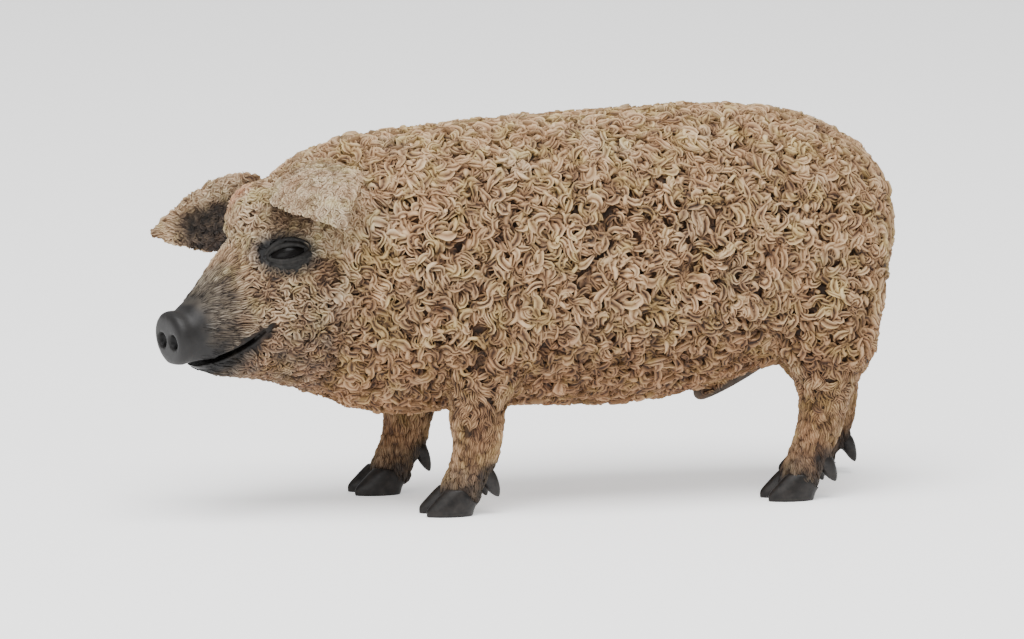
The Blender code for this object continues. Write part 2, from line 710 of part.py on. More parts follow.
def surface_points(obj, draw):
    """Many points spread evenly over an object's surface, in random order, in millimetres."""
    mesh = obj.data
    mesh.calc_loop_triangles()
    corners = np.empty(len(mesh.vertices) * 3)
    mesh.vertices.foreach_get("co", corners)
    corners = corners.reshape(-1, 3) / MM
    triangles = np.empty(len(mesh.loop_triangles) * 3, int)
    mesh.loop_triangles.foreach_get("vertices", triangles)
    a, b, c = (corners[triangles.reshape(-1, 3)[:, i]] for i in range(3))
    area = np.linalg.norm(np.cross(b - a, c - a), axis=1)
    pick = draw.choice(len(area), SAMPLES, p=area / area.sum())
    u, v = draw.random((2, SAMPLES, 1))
    flip = (u + v) > 1
    u, v = np.where(flip, 1 - u, u), np.where(flip, 1 - v, v)
    return a[pick] + (b[pick] - a[pick]) * u + (c[pick] - a[pick]) * v


def spread_out(points, kinds):
    """Keeps each point that is further than its kind's spacing from the points kept before it."""
    kept = []
    for index, kind in enumerate(kinds):
        if kind is None:
            continue
        room = LOCKS[kind[0]][0]
        if all(np.linalg.norm(points[index] - points[other]) > room for other in kept):
            kept.append(index)
    return kept


def lock(point, kind, depth, tree, draw, collection):
    """A curved, tapered ridge that follows the surface, of diamond section, its keel and both ends sunk."""
    _, length, half, spread = LOCKS[kind]
    length *= draw.uniform(0.8, 1.2)
    bend = draw.uniform(0.35, 1.0) * LOCK_BEND * draw.choice((-1, 1))
    turn = math.radians(draw.uniform(-spread, spread))
    half *= draw.uniform(0.85, 1.15)
    place, normal, _, _ = tree.find_nearest(Vector(point) * MM)
    lie = Vector(LIE[kind])
    way = lie - normal * lie.dot(normal)
    way = (Matrix.Rotation(turn, 3, normal) @ way).normalized()
    step = length / 4
    stations = []
    for sign in (-1, 1):
        spot, up, along = place, normal, way
        for count in range(2):
            along = Matrix.Rotation(bend * sign * (0.5 if count == 0 else 1.0), 3, up) @ along
            reach = step * (0.5 if count == 0 else 1.0) * sign * MM
            spot, up, _, _ = tree.find_nearest(spot + along * reach)
            along = (along - up * along.dot(up)).normalized()
            stations.append((sign * (count + 0.5), spot, up, along))
    stations.sort(key=lambda station: station[0])
    rings = []
    for (_, spot, up, along), size in zip(stations, LOCK_SHARES):
        side = up.cross(along)
        across = side * half * size * MM
        lift = up * MM
        crest = lift * depth * (0.55 + 0.45 * size)
        foot = lift * LOCK_FOOT
        ring = (spot + across - foot, spot + crest, spot - across - foot, spot - lift * LOCK_SINK)
        rings.append([tuple(corner / MM) for corner in ring])
    first, last = stations[0], stations[-1]
    poles = [
        tuple((spot + along * way_out * step * 0.5 * MM - up * LOCK_TIP * MM) / MM)
        for (_, spot, up, along), way_out in ((first, -1), (last, 1))
    ]
    return tube_object("lock", np.array(rings), collection, np.array(poles))


def add_locks(flesh, collection):
    """Sets locks all over the coat and fuses them with the flesh in one step."""
    draw = np.random.default_rng(SEED)
    tree = surface_tree(flesh)
    points = surface_points(flesh, draw)
    kinds = [lock_kind(point) for point in points]
    locks = []
    for index in spread_out(points, kinds):
        locks.append(lock(points[index], *kinds[index], tree, draw, collection))
    boolean(flesh, locks, "UNION")
    return reskin(flesh, COAT_VOXEL, 1, COAT_TRIANGLES)


def add_feet(pieces, collection):
    """Cuts each leg off above its hoof and gives it two claws and two dewclaws."""
    for name, (_, side, _, hoof, (back, rise)) in LEGS.items():
        leg = pieces[name]
        low = (hoof - 30, -30, -2)
        high = (hoof + 30, 30, HOOF_TOP)
        boolean(leg, [box("below", low, high, collection)], "DIFFERENCE")
        largest_surface(leg)
        for claw_name, way in (("outer", 1), ("inner", -1)):
            centre = (hoof, side * (FOOT_OUT + way * CLAW_SIDE))
            pieces[f"{name}_claw_{claw_name}"] = claw(f"{name}_claw_{claw_name}", centre, collection)
        holes = []
        for dew_name, root, tip, out, radius in DEWCLAWS:
            y = side * (FOOT_OUT + out)
            ends = (
                (hoof + back + root[0], y, root[1] + rise),
                (hoof + back + tip[0], y + side * out * 0.08, tip[1] + rise),
            )
            key = f"{name}_dewclaw_{dew_name}"
            pieces[key] = cone_rod(key, *ends, radius, 0.0, collection)
            holes.append(cone_rod("hole", *ends, radius, GAP, collection))
        boolean(leg, holes, "DIFFERENCE")
        largest_surface(leg)


def part_body(flesh, collection):
    """Parts the fused flesh into its nodes and returns them by name."""
    pieces = {}
    for name, (centre, radii) in LEG_CELLS.items():
        pieces[name] = copy_of(flesh, name, collection)
        boolean(pieces[name], [ellipsoid("cell", centre, radii, collection)], "INTERSECT")
    spaces = []
    for centre, radii in LEG_CELLS.values():
        spaces.append(ellipsoid("space", centre, [r + GAP for r in radii], collection))
    boolean(flesh, spaces, "DIFFERENCE")
    largest_surface(flesh)
    head_point = head_place(HEAD_CUT, 0, 35)
    head_way = head_place(1, 0, 0) - head_place(0, 0, 0)
    pieces["hindquarters"] = flesh
    pieces["barrel"] = split(flesh, *FLANK_PLANE, "barrel", collection)
    pieces["shoulders"] = split(pieces["barrel"], *SHOULDER_PLANE, "shoulders", collection)
    pieces["neck"] = split(pieces["shoulders"], *NECK_PLANE, "neck", collection)
    pieces["head"] = split(pieces["neck"], head_point, head_way, "head", collection)
    flesh.name = "hindquarters"
    return pieces


def finish_head(pieces, collection):
    """Cuts the jaw, snout, eye sockets and ear slots, and adds the disc, the eyes and the ears."""
    head = pieces["head"]
    place, turn = snout_frame()
    facing = np.array(turn.to_3x3())[:, 2]
    front = split(head, np.array(place) / MM - facing * GAP, facing, "front", collection, 0.0)
    bpy.data.objects.remove(front)
    pieces["snout_disc"] = snout_disc(collection)
    tree = surface_tree(head)
    ridges, sockets = [], []
    for name, side in (("eye_left", -1), ("eye_right", 1)):
        point, turn = eye_frame(tree, side)
        centre = np.array(point - turn.to_3x3().col[2] * EYE_SINK * MM) / MM
        ridges.append(ring_ridge("lids", np.array(point), turn, LID_RADII, LID_THICK, collection))
        sockets.append(ellipsoid("socket", centre, [r + GAP for r in EYE_RADII], collection, turn, 14))
        pieces[name] = ellipsoid(name, centre, EYE_RADII, collection, turn, 14)
    boolean(head, ridges, "UNION")
    slots = []
    for name in EARS:
        rings, ends = ear_rings(name, 0.0)
        pieces[name] = tube_object(name, rings, collection, ends)
        rings, ends = ear_rings(name, GAP)
        slots.append(tube_object("slot", rings, collection, ends))
    boolean(head, sockets + slots, "DIFFERENCE")
    largest_surface(head)
    pieces["lower_jaw"] = part_jaw(head, collection)
    largest_surface(head)


def finish_tail(pieces, collection):
    """Adds the tail and cuts the slot that its root sits in."""
    pieces["tail"] = tail_object("tail", 0.0, collection)
    boolean(pieces["hindquarters"], [tail_object("slot", GAP, collection)], "DIFFERENCE")


def paint(pieces):
    """Gives each piece the material of its kind."""
    coat = new_material("painted_coat", COAT_COLOUR, 0.75)
    snout = new_material("painted_snout", SNOUT_COLOUR, 0.55)
    hoof = new_material("painted_hoof", HOOF_COLOUR, 0.6)
    eye = new_material("painted_eye", EYE_COLOUR, 0.15)
    for name, piece in pieces.items():
        kind = hoof if "claw" in name else eye if name.startswith("eye") else coat
        piece.data.materials.clear()
        piece.data.materials.append(snout if name == "snout_disc" else kind)


def stand_on_origin(pieces):
    """Moves the meshes so that the middle of the whole box's lowest face is the origin."""
    corners = np.array([vertex.co for piece in pieces.values() for vertex in piece.data.vertices])
    low, high = corners.min(0), corners.max(0)
    move = Matrix.Translation((-(low[0] + high[0]) / 2, -(low[1] + high[1]) / 2, -low[2]))
    for piece in pieces.values():
        piece.data.transform(move)


def main():
    clear_scene()
    parts = new_collection("mangalica_pig")
    flesh = make_flesh(parts)
    add_locks(flesh, parts)
    pieces = part_body(flesh, parts)
    finish_head(pieces, parts)
    finish_tail(pieces, parts)
    add_feet(pieces, parts)
    for piece in pieces.values():
        largest_surface(piece)
    paint(pieces)
    stand_on_origin(pieces)


main()
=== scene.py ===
"""Moulded and painted toy figure of a curly-coated mangalica pig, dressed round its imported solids.

Two smooth skins, one for the head and one for the rest, lie under the crests of the coat. Thousands of
curled locks are set on them, each scored lengthwise, as the figure's maker carved them. Sizes in tables and
constants are millimetres in the body's own axes, with the pig facing -X. SHIFT and MM bring them into the
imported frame.
"""

import math

import bmesh
import bpy
import numpy as np
from mathutils import Matrix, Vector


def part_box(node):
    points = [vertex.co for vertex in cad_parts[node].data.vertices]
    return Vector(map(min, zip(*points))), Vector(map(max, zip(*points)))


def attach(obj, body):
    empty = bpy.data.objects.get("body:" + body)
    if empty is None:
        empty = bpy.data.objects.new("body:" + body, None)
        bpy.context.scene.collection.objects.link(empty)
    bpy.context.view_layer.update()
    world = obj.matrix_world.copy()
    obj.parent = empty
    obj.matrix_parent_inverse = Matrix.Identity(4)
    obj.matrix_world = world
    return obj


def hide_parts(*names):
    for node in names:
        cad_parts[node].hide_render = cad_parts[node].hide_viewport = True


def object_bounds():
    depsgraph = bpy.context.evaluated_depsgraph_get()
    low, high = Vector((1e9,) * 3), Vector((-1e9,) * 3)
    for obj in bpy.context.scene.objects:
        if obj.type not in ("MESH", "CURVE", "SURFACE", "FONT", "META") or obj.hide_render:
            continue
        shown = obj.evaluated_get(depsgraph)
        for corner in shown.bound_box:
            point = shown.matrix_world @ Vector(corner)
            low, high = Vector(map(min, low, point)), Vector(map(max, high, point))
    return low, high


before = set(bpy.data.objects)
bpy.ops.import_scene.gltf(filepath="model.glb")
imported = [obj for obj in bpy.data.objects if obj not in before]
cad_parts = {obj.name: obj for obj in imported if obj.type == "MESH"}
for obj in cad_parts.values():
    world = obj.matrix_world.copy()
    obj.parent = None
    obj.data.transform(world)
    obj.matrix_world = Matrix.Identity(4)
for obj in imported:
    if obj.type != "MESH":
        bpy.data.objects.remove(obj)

MM = 0.001
CAD_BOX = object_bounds()

# Trunk sections, rump to neck: x, widest height, reach above it, reach below it, half width,
# roundness above, roundness below. They give the outer surface of the coat.
TRUNK = (
    (58.2, 41.5, 5.4, 5.2, 4.8, 2.0, 2.0),
    (56.6, 41.0, 9.8, 9.8, 9.0, 2.0, 2.0),
    (53.4, 40.3, 14.2, 13.6, 12.4, 2.0, 2.0),
    (49.0, 39.2, 18.2, 17.0, 15.0, 2.0, 2.0),
    (42.0, 38.0, 21.9, 18.2, 17.2, 2.1, 2.0),
    (34.0, 37.0, 24.2, 19.4, 18.3, 2.1, 2.0),
    (24.0, 36.0, 25.4, 20.8, 18.9, 2.1, 2.1),
    (12.0, 35.5, 25.3, 21.4, 18.9, 2.1, 2.1),
    (0.0, 35.5, 24.7, 20.9, 18.4, 2.1, 2.1),
    (-10.0, 35.5, 24.1, 21.0, 17.7, 2.1, 2.1),
    (-20.0, 35.4, 23.3, 21.5, 16.5, 2.1, 2.1),
)
# The head turns about the pivot. The two ways are where it faces and its right.
NECK_PIVOT = (-33.0, 0.0)
HEAD_TURN = math.radians(14)
HEAD_WAY = np.array((-math.cos(HEAD_TURN), -math.sin(HEAD_TURN), 0.0))
SIDE_WAY = np.array((-math.sin(HEAD_TURN), math.cos(HEAD_TURN), 0.0))
# Neck and head sections by distance ahead of the neck pivot, with the same columns and the share of the
# head's turn that each has.
HEAD = (
    (-5.5, 35.0, 23.0, 19.9, 15.0, 2.1, 2.0, 0.35),
    (0.0, 34.6, 21.8, 17.4, 13.8, 2.0, 2.0, 0.75),
    (4.0, 33.7, 20.6, 15.0, 12.9, 1.9, 2.0, 1.0),
    (8.0, 33.0, 17.3, 13.2, 11.8, 1.9, 2.1, 1.0),
    (12.0, 32.2, 13.2, 11.4, 9.9, 1.9, 2.1, 1.0),
    (16.0, 31.0, 9.4, 9.5, 7.6, 2.0, 2.1, 1.0),
    (20.0, 29.5, 6.5, 6.8, 5.5, 2.1, 2.2, 1.0),
    (23.5, 28.5, 4.4, 4.45, 4.3, 2.1, 2.2, 1.0),
    (27.0, 28.3, 4.0, 4.0, 4.0, 2.1, 2.1, 1.0),
)
BODY_COAT = 1.4  # depth of the coat on the trunk, which the skin lies under
HEAD_COAT = 0.8
LEG_COAT = 0.5
HEAD_FROM = 2.0  # distance ahead of the pivot where the head's coat starts
BARE_FROM = 20.0  # and where the muzzle is bare
SECTION_SIDES = 72

# Leg sections from the body down: height, x, distance from the middle plane, half length, half width.
FORELEG = (
    (31.0, -9.0, 10.2, 8.6, 6.0),
    (24.0, -9.6, 11.2, 6.8, 5.4),
    (17.5, -10.6, 11.8, 4.8, 4.4),
    (14.5, -11.0, 11.9, 4.4, 4.0),
    (10.8, -10.9, 11.9, 4.0, 3.7),
    (8.2, -11.4, 11.9, 4.0, 3.6),
    (6.2, -12.5, 11.9, 3.8, 3.5),
    (4.4, -13.4, 11.9, 3.6, 4.1),
    (1.4, -14.0, 11.9, 3.6, 4.2),
)
HINDLEG_LEFT = (
    (34.0, 44.4, 8.8, 10.8, 8.0),
    (28.0, 44.8, 10.0, 9.6, 7.2),
    (22.5, 45.6, 11.0, 7.2, 6.0),
    (18.5, 45.6, 11.6, 5.2, 4.9),
    (15.0, 45.2, 11.8, 4.1, 4.3),
    (11.5, 44.5, 11.9, 3.7, 3.9),
    (8.5, 43.4, 11.9, 3.7, 3.7),
    (6.4, 42.3, 11.9, 3.6, 3.6),
    (4.6, 41.3, 11.9, 3.5, 4.1),
    (1.4, 40.6, 11.9, 3.6, 4.2),
)
# The right hind leg stands further back: x and half length of its sections, the rest being the left one's.
BACKWARD = (
    (44.4, 10.8),
    (45.4, 9.6),
    (48.6, 8.0),
    (51.6, 6.7),
    (53.3, 5.5),
    (54.2, 4.2),
    (54.4, 3.9),
    (53.4, 3.8),
    (52.0, 3.5),
    (51.4, 3.6),
)
HINDLEG_RIGHT = tuple((row[0], x, row[2], long, row[4]) for row, (x, long) in zip(HINDLEG_LEFT, BACKWARD))
LEG_STEPS = 6  # sections made between two of those given
# Each leg: its sections, side (-1 left, +1 right), how far the foot steps along x, hoof centre x, and how
# far its dewclaws sit back and up from their usual place. The step fades out between two heights.
LEGS = {
    "foreleg_left": (FORELEG, -1, 0.0, -15.7, (0.3, 0.0)),
    "foreleg_right": (FORELEG, 1, -4.5, -20.5, (1.7, 1.0)),
    "hindleg_left": (HINDLEG_LEFT, -1, 0.0, 39.3, (-0.2, 0.0)),
    "hindleg_right": (HINDLEG_RIGHT, 1, 0.0, 50.2, (1.0, -0.5)),
}
STEP_FULL = 10.0
STEP_NONE = 25.0
FOOT_OUT = 11.9
CLAW_SIDE = 2.1
CLAW_LENGTH = 3.95
# Claw sections from sole to top: height, how far the middle lies back, half length, half width.
CLAW = (
    (0.0, 0.0, 3.8, 1.5),
    (0.25, 0.02, 3.95, 1.66),
    (1.2, 0.2, 4.0, 1.8),
    (2.6, 1.0, 3.5, 1.78),
    (3.5, 1.5, 3.1, 1.75),
    (4.2, 1.8, 2.6, 1.6),
)
CLAW_SLOPE = 0.55  # share of a claw's height that its top loses at the heel
# Dewclaws: root and tip as place behind the hoof's centre and height, place to the side, radius.
DEWCLAWS = (
    ("outer", (5.0, 6.9), (7.3, 2.7), 1.8, 1.2),
    ("inner", (4.7, 6.6), (6.5, 2.3), -1.8, 1.0),
)
DEWCLAW_BUMP = (1.5, 1.15, 1.7)  # radii of the flesh round a dewclaw's root, against the dewclaw's own
BUMP_AHEAD = (0.5, 0.0, 0.0)
# A dewclaw's swelling and taper: share of the way to the tip, share of the radius.
DEWCLAW_TAPER = ((0.0, 0.9), (0.2, 1.1), (0.4, 1.08), (0.6, 0.92), (0.78, 0.68), (0.9, 0.42), (0.97, 0.2))
# Swellings under the coat: centre, radii. A pair is mirrored to the other side.
SWELLINGS = (
    ((-9.5, 9.6, 29.0), (9.5, 7.8, 15.0)),
    ((45.4, 8.6, 35.0), (11.6, 8.2, 15.5)),
)
# Sheath under the belly: root, tip, radius.
SHEATH = ((41.0, 0.0, 23.0), (28.0, 0.0, 15.0), 2.4)

SNOUT_CUT = 24.0  # distance ahead of the pivot where the snout disc starts
DISC_RADII = (4.7, 4.35)
DISC_RISE = 28.15
DISC_LEAN = math.radians(8)
# Profile of the snout: height along its axis, share of the disc's radius.
SNOUT_PROFILE = (
    (-6.0, 0.85),
    (-2.5, 0.93),
    (-1.0, 0.95),
    (0.0, 0.965),
    (0.8, 1.0),
    (1.4, 0.995),
    (1.9, 0.93),
    (2.18, 0.80),
    (2.24, 0.55),
    (2.2, 0.25),
)
NOSTRIL_SIDE = 1.75
NOSTRIL_UP = 0.15
NOSTRIL_RADII = (1.3, 1.2, 1.5)

# Swelling of the forehead: distance ahead of the neck pivot, side and height of its middle, and its radii.
FOREHEAD = ((7.2, 1.4, 44.8), (7.0, 6.9, 6.0))
# The line of the mouth in the head's side view: distance ahead of the pivot, height, opening.
MOUTH = (
    (27.0, 22.4, 1.2),
    (22.1, 23.8, 1.1),
    (20.3, 24.35, 1.0),
    (18.7, 25.05, 0.95),
    (16.9, 26.05, 0.85),
    (15.0, 27.45, 0.85),
    (13.9, 28.65, 0.75),
    (13.2, 29.4, 0.55),
)
MOUTH_AHEAD, MOUTH_RISE = np.array(MOUTH)[::-1, :2].T
MOUTH_MIDDLE = 0.4  # height of the gap's middle over its lower lip
MOUTH_DEPTH = 2.2
MOUTH_CORE_END = 20.5  # how far ahead the flesh behind the lips reaches
EYE_RADII = (3.0, 1.6, 1.15)
EYE_SINK = 0.7  # how far an eyeball's middle lies under the skin
LIDS_BACK = 0.15
EYE_OVAL = (4.5, 2.9, 6.0)  # radii of the dark oval round an eye: along the head, up and outwards
EYE_OVAL_AHEAD = 0.3
# Lids and folds round an eye: half length, height of the bow, drop towards the snout, lift off the skin,
# thickness.
LIDS = (
    (3.3, 1.45, -0.25, 0.40, 0.52),
    (3.25, -1.25, -0.25, 0.28, 0.44),
    (4.0, 2.45, -0.3, 0.10, 0.42),
    (3.3, 3.2, -0.2, 0.0, 0.30),
    (3.9, -2.2, -0.2, 0.0, 0.36),
)

# Ears: middle of the root, tip, direction across the blade, half width, side that the back of the ear
# faces, height of the blade's arch.
EARS = {
    "ear_left": ((-36.8, -5.0, 52.6), (-34.6, -22.5, 45.8), (0.93, 0.0, 0.36), 7.6, (0.0, 0.0, 1.0), 2.6),
    "ear_right": ((-38.9, 7.6, 46.3), (-55.0, 18.8, 40.9), (0.1, 0.1, 1.0), 6.6, (0.6, 0.8, 0.2), 0.3),
}
# Blade of an ear: share of the way to the tip, share of the half width, thickness.
EAR_BLADE = (
    (0.0, 0.78, 2.2),
    (0.14, 0.94, 1.9),
    (0.32, 1.0, 1.6),
    (0.52, 0.86, 1.4),
    (0.72, 0.6, 1.25),
    (0.88, 0.34, 1.1),
    (1.0, 0.1, 0.7),
)
EAR_CUP = 2.2
EAR_INSET = 0.35  # how far the skin of an ear lies inside its outline

TAIL = ((54.5, 2.0, 49.0), (58.4, 2.6, 46.4), (59.8, 3.0, 42.0), (59.4, 3.2, 37.5), (58.9, 3.4, 33.0))
TAIL_RADII = (1.5, 1.4, 1.3, 1.6, 0.8)
TAIL_INSET = 0.35

SEAM_AHEAD = -6.5  # where the head's fine skin meets the body's, under the coat of the neck
# Grid size of each skin, and the rounds in which it is smoothed. The head's coarse one is cut and then
# covered by the fine one.
BODY_SKIN = (0.42, 24)
COARSE_HEAD_SKIN = (0.35, 10)
HEAD_SKIN = (0.25, 3)
LID_SKIN = (0.13, 6)

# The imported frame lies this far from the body's own axes.
claw_low, claw_high = (np.array(corner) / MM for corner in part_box("foreleg_left_claw_outer"))
SHIFT = np.array(
    (
        claw_low[0] - LEGS["foreleg_left"][3] + CLAW_LENGTH,
        (claw_low[1] + claw_high[1]) / 2 + FOOT_OUT + CLAW_SIDE,
        0.0,
    )
)
# Middle of each eye's solid.
EYES = {name: np.mean(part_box(name), 0) / MM - SHIFT for name in ("eye_left", "eye_right")}


# Arrays and meshes


def mesh_object(name, points, quads=(), triangles=()):
    """A smooth-shaded mesh object from arrays of points in the body's axes and of its faces' corners."""
    corners = np.concatenate((np.ravel(quads), np.ravel(triangles))).astype(np.int32)
    sizes = np.concatenate((np.full(len(quads), 4), np.full(len(triangles), 3))).astype(np.int32)
    starts = (np.cumsum(sizes) - sizes).astype(np.int32)
    mesh = bpy.data.meshes.new(name)
    mesh.vertices.add(len(points))
    mesh.vertices.foreach_set("co", ((points + SHIFT) * MM).astype(np.float32).ravel())
    mesh.loops.add(len(corners))
    mesh.loops.foreach_set("vertex_index", corners)
    mesh.polygons.add(len(sizes))
    mesh.polygons.foreach_set("loop_start", starts)
    mesh.polygons.foreach_set("use_smooth", np.ones(len(sizes), bool))
    mesh.update(calc_edges=True)
    obj = bpy.data.objects.new(name, mesh)
    bpy.context.scene.collection.objects.link(obj)
    return obj


def points_of(mesh):
    """The vertices of a mesh as an array in the body's axes."""
    places = np.empty(len(mesh.vertices) * 3, np.float32)
    mesh.vertices.foreach_get("co", places)
    return places.reshape(-1, 3).astype(float) / MM - SHIFT


def tube_faces(rings, sides):
    """Corners of a closed tube's faces: each ring joined to the next, and a fan to a pole at both ends. The
    poles are the two points after the rings."""
    i, j = (part.ravel() for part in np.meshgrid(np.arange(rings - 1), np.arange(sides), indexing="ij"))
    k = (j + 1) % sides
    quads = np.stack((i * sides + j, i * sides + k, (i + 1) * sides + k, (i + 1) * sides + j), -1)
    j = np.arange(sides)
    k = (j + 1) % sides
    first = np.stack((np.full(sides, rings * sides), k, j), -1)
    last = np.stack((np.full(sides, rings * sides + 1), (rings - 1) * sides + j, (rings - 1) * sides + k), -1)
    return quads, np.vstack((first, last))


def tube(rings, poles=None):
    """A closed solid through an array of rings, shaped (rings, sides, 3): its points and its faces."""
    ends = poles if poles is not None else (rings[0].mean(0), rings[-1].mean(0))
    return (np.vstack((rings.reshape(-1, 3), ends)), *tube_faces(*rings.shape[:2]))


def ball(centre, radii, turn=None, sides=28):
    """A closed ellipsoid: circles of radius cos(b) at heights sin(b), stretched to its radii and turned."""
    angle = np.linspace(0, 2 * math.pi, sides, endpoint=False)
    rise = np.linspace(-math.pi / 2, math.pi / 2, sides // 2 + 1)[1:-1]
    rings = np.stack(
        (
            np.cos(rise)[:, None] * np.cos(angle),
            np.cos(rise)[:, None] * np.sin(angle),
            np.sin(rise)[:, None] * np.ones(sides),
        ),
        -1,
    )
    turn = np.eye(3) if turn is None else turn
    poles = np.array(((0, 0, -1.0), (0, 0, 1.0)))
    return tube(*((points * radii) @ turn.T + centre for points in (rings, poles)))


def together(shapes):
    """Several shapes as one set of points and faces."""
    points, quads, triangles, start = [], [], [], 0
    for shape in shapes:
        points.append(shape[0])
        quads.append(shape[1] + start)
        triangles.append(shape[2] + start)
        start += len(shape[0])
    return np.vstack(points), np.vstack(quads), np.vstack(triangles)


def fused(obj, voxel, rounds, cutters=()):
    """One closed skin over an object's overlapping solids: covered by an even grid of faces, smoothed in a
    number of rounds, then hollowed by the cutters."""
    add_skin(obj, voxel, rounds)
    knives = [mesh_object("knife", *cutter) for cutter in cutters]
    for knife in knives:
        cut = obj.modifiers.new("cut", "BOOLEAN")
        cut.operation = "DIFFERENCE"
        cut.solver = "MANIFOLD"
        cut.object = knife
    graph = bpy.context.evaluated_depsgraph_get()
    graph.update()
    obj.data = bpy.data.meshes.new_from_object(obj.evaluated_get(graph))
    obj.modifiers.clear()
    for knife in knives:
        bpy.data.objects.remove(knife)
    return obj


def add_skin(obj, voxel, rounds):
    """Modifiers that cover an object by an even grid of faces and smooth it."""
    cover = obj.modifiers.new("cover", "REMESH")
    cover.mode = "VOXEL"
    cover.voxel_size = voxel * MM
    cover.use_smooth_shade = True
    blend = obj.modifiers.new("blend", "SMOOTH")
    blend.factor = 0.5
    blend.iterations = rounds


def keep_side(obj, point, way):
    """Cuts an object off at a plane and closes the cut. The side that way points to is kept."""
    shape = bmesh.new()
    shape.from_mesh(obj.data)
    geometry = shape.verts[:] + shape.edges[:] + shape.faces[:]
    cut = bmesh.ops.bisect_plane(
        shape, geom=geometry, plane_co=(point + SHIFT) * MM, plane_no=-np.array(way), clear_outer=True
    )
    rim = [item for item in cut["geom_cut"] if isinstance(item, bmesh.types.BMEdge)]
    bmesh.ops.holes_fill(shape, edges=rim)
    shape.to_mesh(obj.data)
    shape.free()
    obj.data.polygons.foreach_set("use_smooth", np.ones(len(obj.data.polygons), bool))
    return obj


def copied(obj, name):
    """A copy of an object with a mesh of its own."""
    twin = bpy.data.objects.new(name, obj.data.copy())
    bpy.context.scene.collection.objects.link(twin)
    return twin


def snap(points, target):
    """The nearest places on a target's surface to an array of points, and the way out of it there. Two
    shrunk copies of the points, one on the surface and one a millimetre above it, give both."""
    levels = []
    for lift in (0.0, 1.0):
        cloud = mesh_object("cloud", points.reshape(-1, 3))
        wrap = cloud.modifiers.new("wrap", "SHRINKWRAP")
        wrap.wrap_method = "NEAREST_SURFACEPOINT"
        wrap.wrap_mode = "ABOVE_SURFACE"
        wrap.target = target
        wrap.offset = lift * MM
        graph = bpy.context.evaluated_depsgraph_get()
        graph.update()
        levels.append(points_of(cloud.evaluated_get(graph).data).reshape(points.shape))
        bpy.data.objects.remove(cloud)
    out = levels[1] - levels[0]
    return levels[0], out / np.maximum(np.linalg.norm(out, axis=-1, keepdims=True), 1e-6)


def ease(value, low=0.0, high=1.0):
    """0 below low, 1 above high and a smooth S between them."""
    share = np.clip((value - low) / (high - low), 0, 1)
    return share * share * (3 - 2 * share)


def unit(ways):
    """The directions with their lengths made 1."""
    return ways / np.maximum(np.linalg.norm(ways, axis=-1, keepdims=True), 1e-9)


def across_surface(ways, outs):
    """The part of each direction that lies in the surface with the given way out, of length 1."""
    return unit(ways - outs * (ways * outs).sum(-1, keepdims=True))


def smooth_rows(rows, steps):
    """Rows between the given ones on a smooth curve through them, with steps in each span."""
    rows = np.array(rows, float)
    slopes = np.gradient(rows, axis=0)
    t = np.linspace(0, 1, steps, endpoint=False)[:, None]
    spans = [
        (2 * t**3 - 3 * t**2 + 1) * rows[i]
        + (t**3 - 2 * t**2 + t) * slopes[i]
        + (3 * t**2 - 2 * t**3) * rows[i + 1]
        + (t**3 - t**2) * slopes[i + 1]
        for i in range(len(rows) - 1)
    ]
    return np.vstack((*spans, rows[-1:]))


# The body's shape


def head_place(ahead, side, rise):
    """The points a distance ahead of the neck pivot, to the pig's right by side, at a height."""
    ahead, side, rise = np.broadcast_arrays(ahead, side, rise)
    x = NECK_PIVOT[0] - math.cos(HEAD_TURN) * ahead - math.sin(HEAD_TURN) * side
    y = NECK_PIVOT[1] - math.sin(HEAD_TURN) * ahead + math.cos(HEAD_TURN) * side
    return np.stack((x, y, rise), -1)


def ahead_side(points):
    """How far ahead of the neck pivot each point lies along the head, and how far to the pig's right."""
    x, y = points[..., 0] - NECK_PIVOT[0], points[..., 1] - NECK_PIVOT[1]
    ahead = -math.cos(HEAD_TURN) * x - math.sin(HEAD_TURN) * y
    side = -math.sin(HEAD_TURN) * x + math.cos(HEAD_TURN) * y
    return ahead, side


def body_rows():
    """Sections from rump to snout: x, y, turn, widest height, up, down, half width, two powers, coat."""
    rows = [(x, 0.0, 0.0, *sizes, BODY_COAT) for x, *sizes in TRUNK]
    for ahead, *sizes, share in HEAD:
        x, y, _ = head_place(ahead, 0, 0)
        y *= min(1.0, max(ahead, 0.0) / 4)
        fade = min(1.0, max(0.0, (BARE_FROM - ahead) / 8))
        coat = HEAD_COAT * fade if ahead > HEAD_FROM else BODY_COAT
        rows.append((x, y, HEAD_TURN * share, *sizes, coat))
    return np.array(rows)


def section_rings(rows, extra=0.0):
    """Rounded sections, the curve |side|^p + |rise|^p = 1 stretched to each section's reach less its coat and
    an extra depth."""
    x, y, turn, mid, up, down, half, up_power, down_power, coat = (rows[:, i, None] for i in range(10))
    angle = np.linspace(0, 2 * math.pi, SECTION_SIDES, endpoint=False)
    across, along = np.cos(angle), np.sin(angle)
    power = np.where(along > 0, up_power, down_power)
    reach = (np.abs(across) ** power + np.abs(along) ** power) ** (-1 / power)
    inset = coat + extra
    side = across * reach * (half - inset)
    rise = along * reach * (np.where(along > 0, up, down) - inset)
    return np.stack((x - np.sin(turn) * side, y + np.cos(turn) * side, mid + rise), -1)


def leg_rows(name):
    """A leg's sections with the foot's step added, fading out towards the body."""
    rows, _, step, *_ = LEGS[name]
    rows = np.array(rows, float)
    share = ease((STEP_NONE - rows[:, 0]) / (STEP_NONE - STEP_FULL))
    rows[:, 1] += step * share
    return smooth_rows(rows, LEG_STEPS)


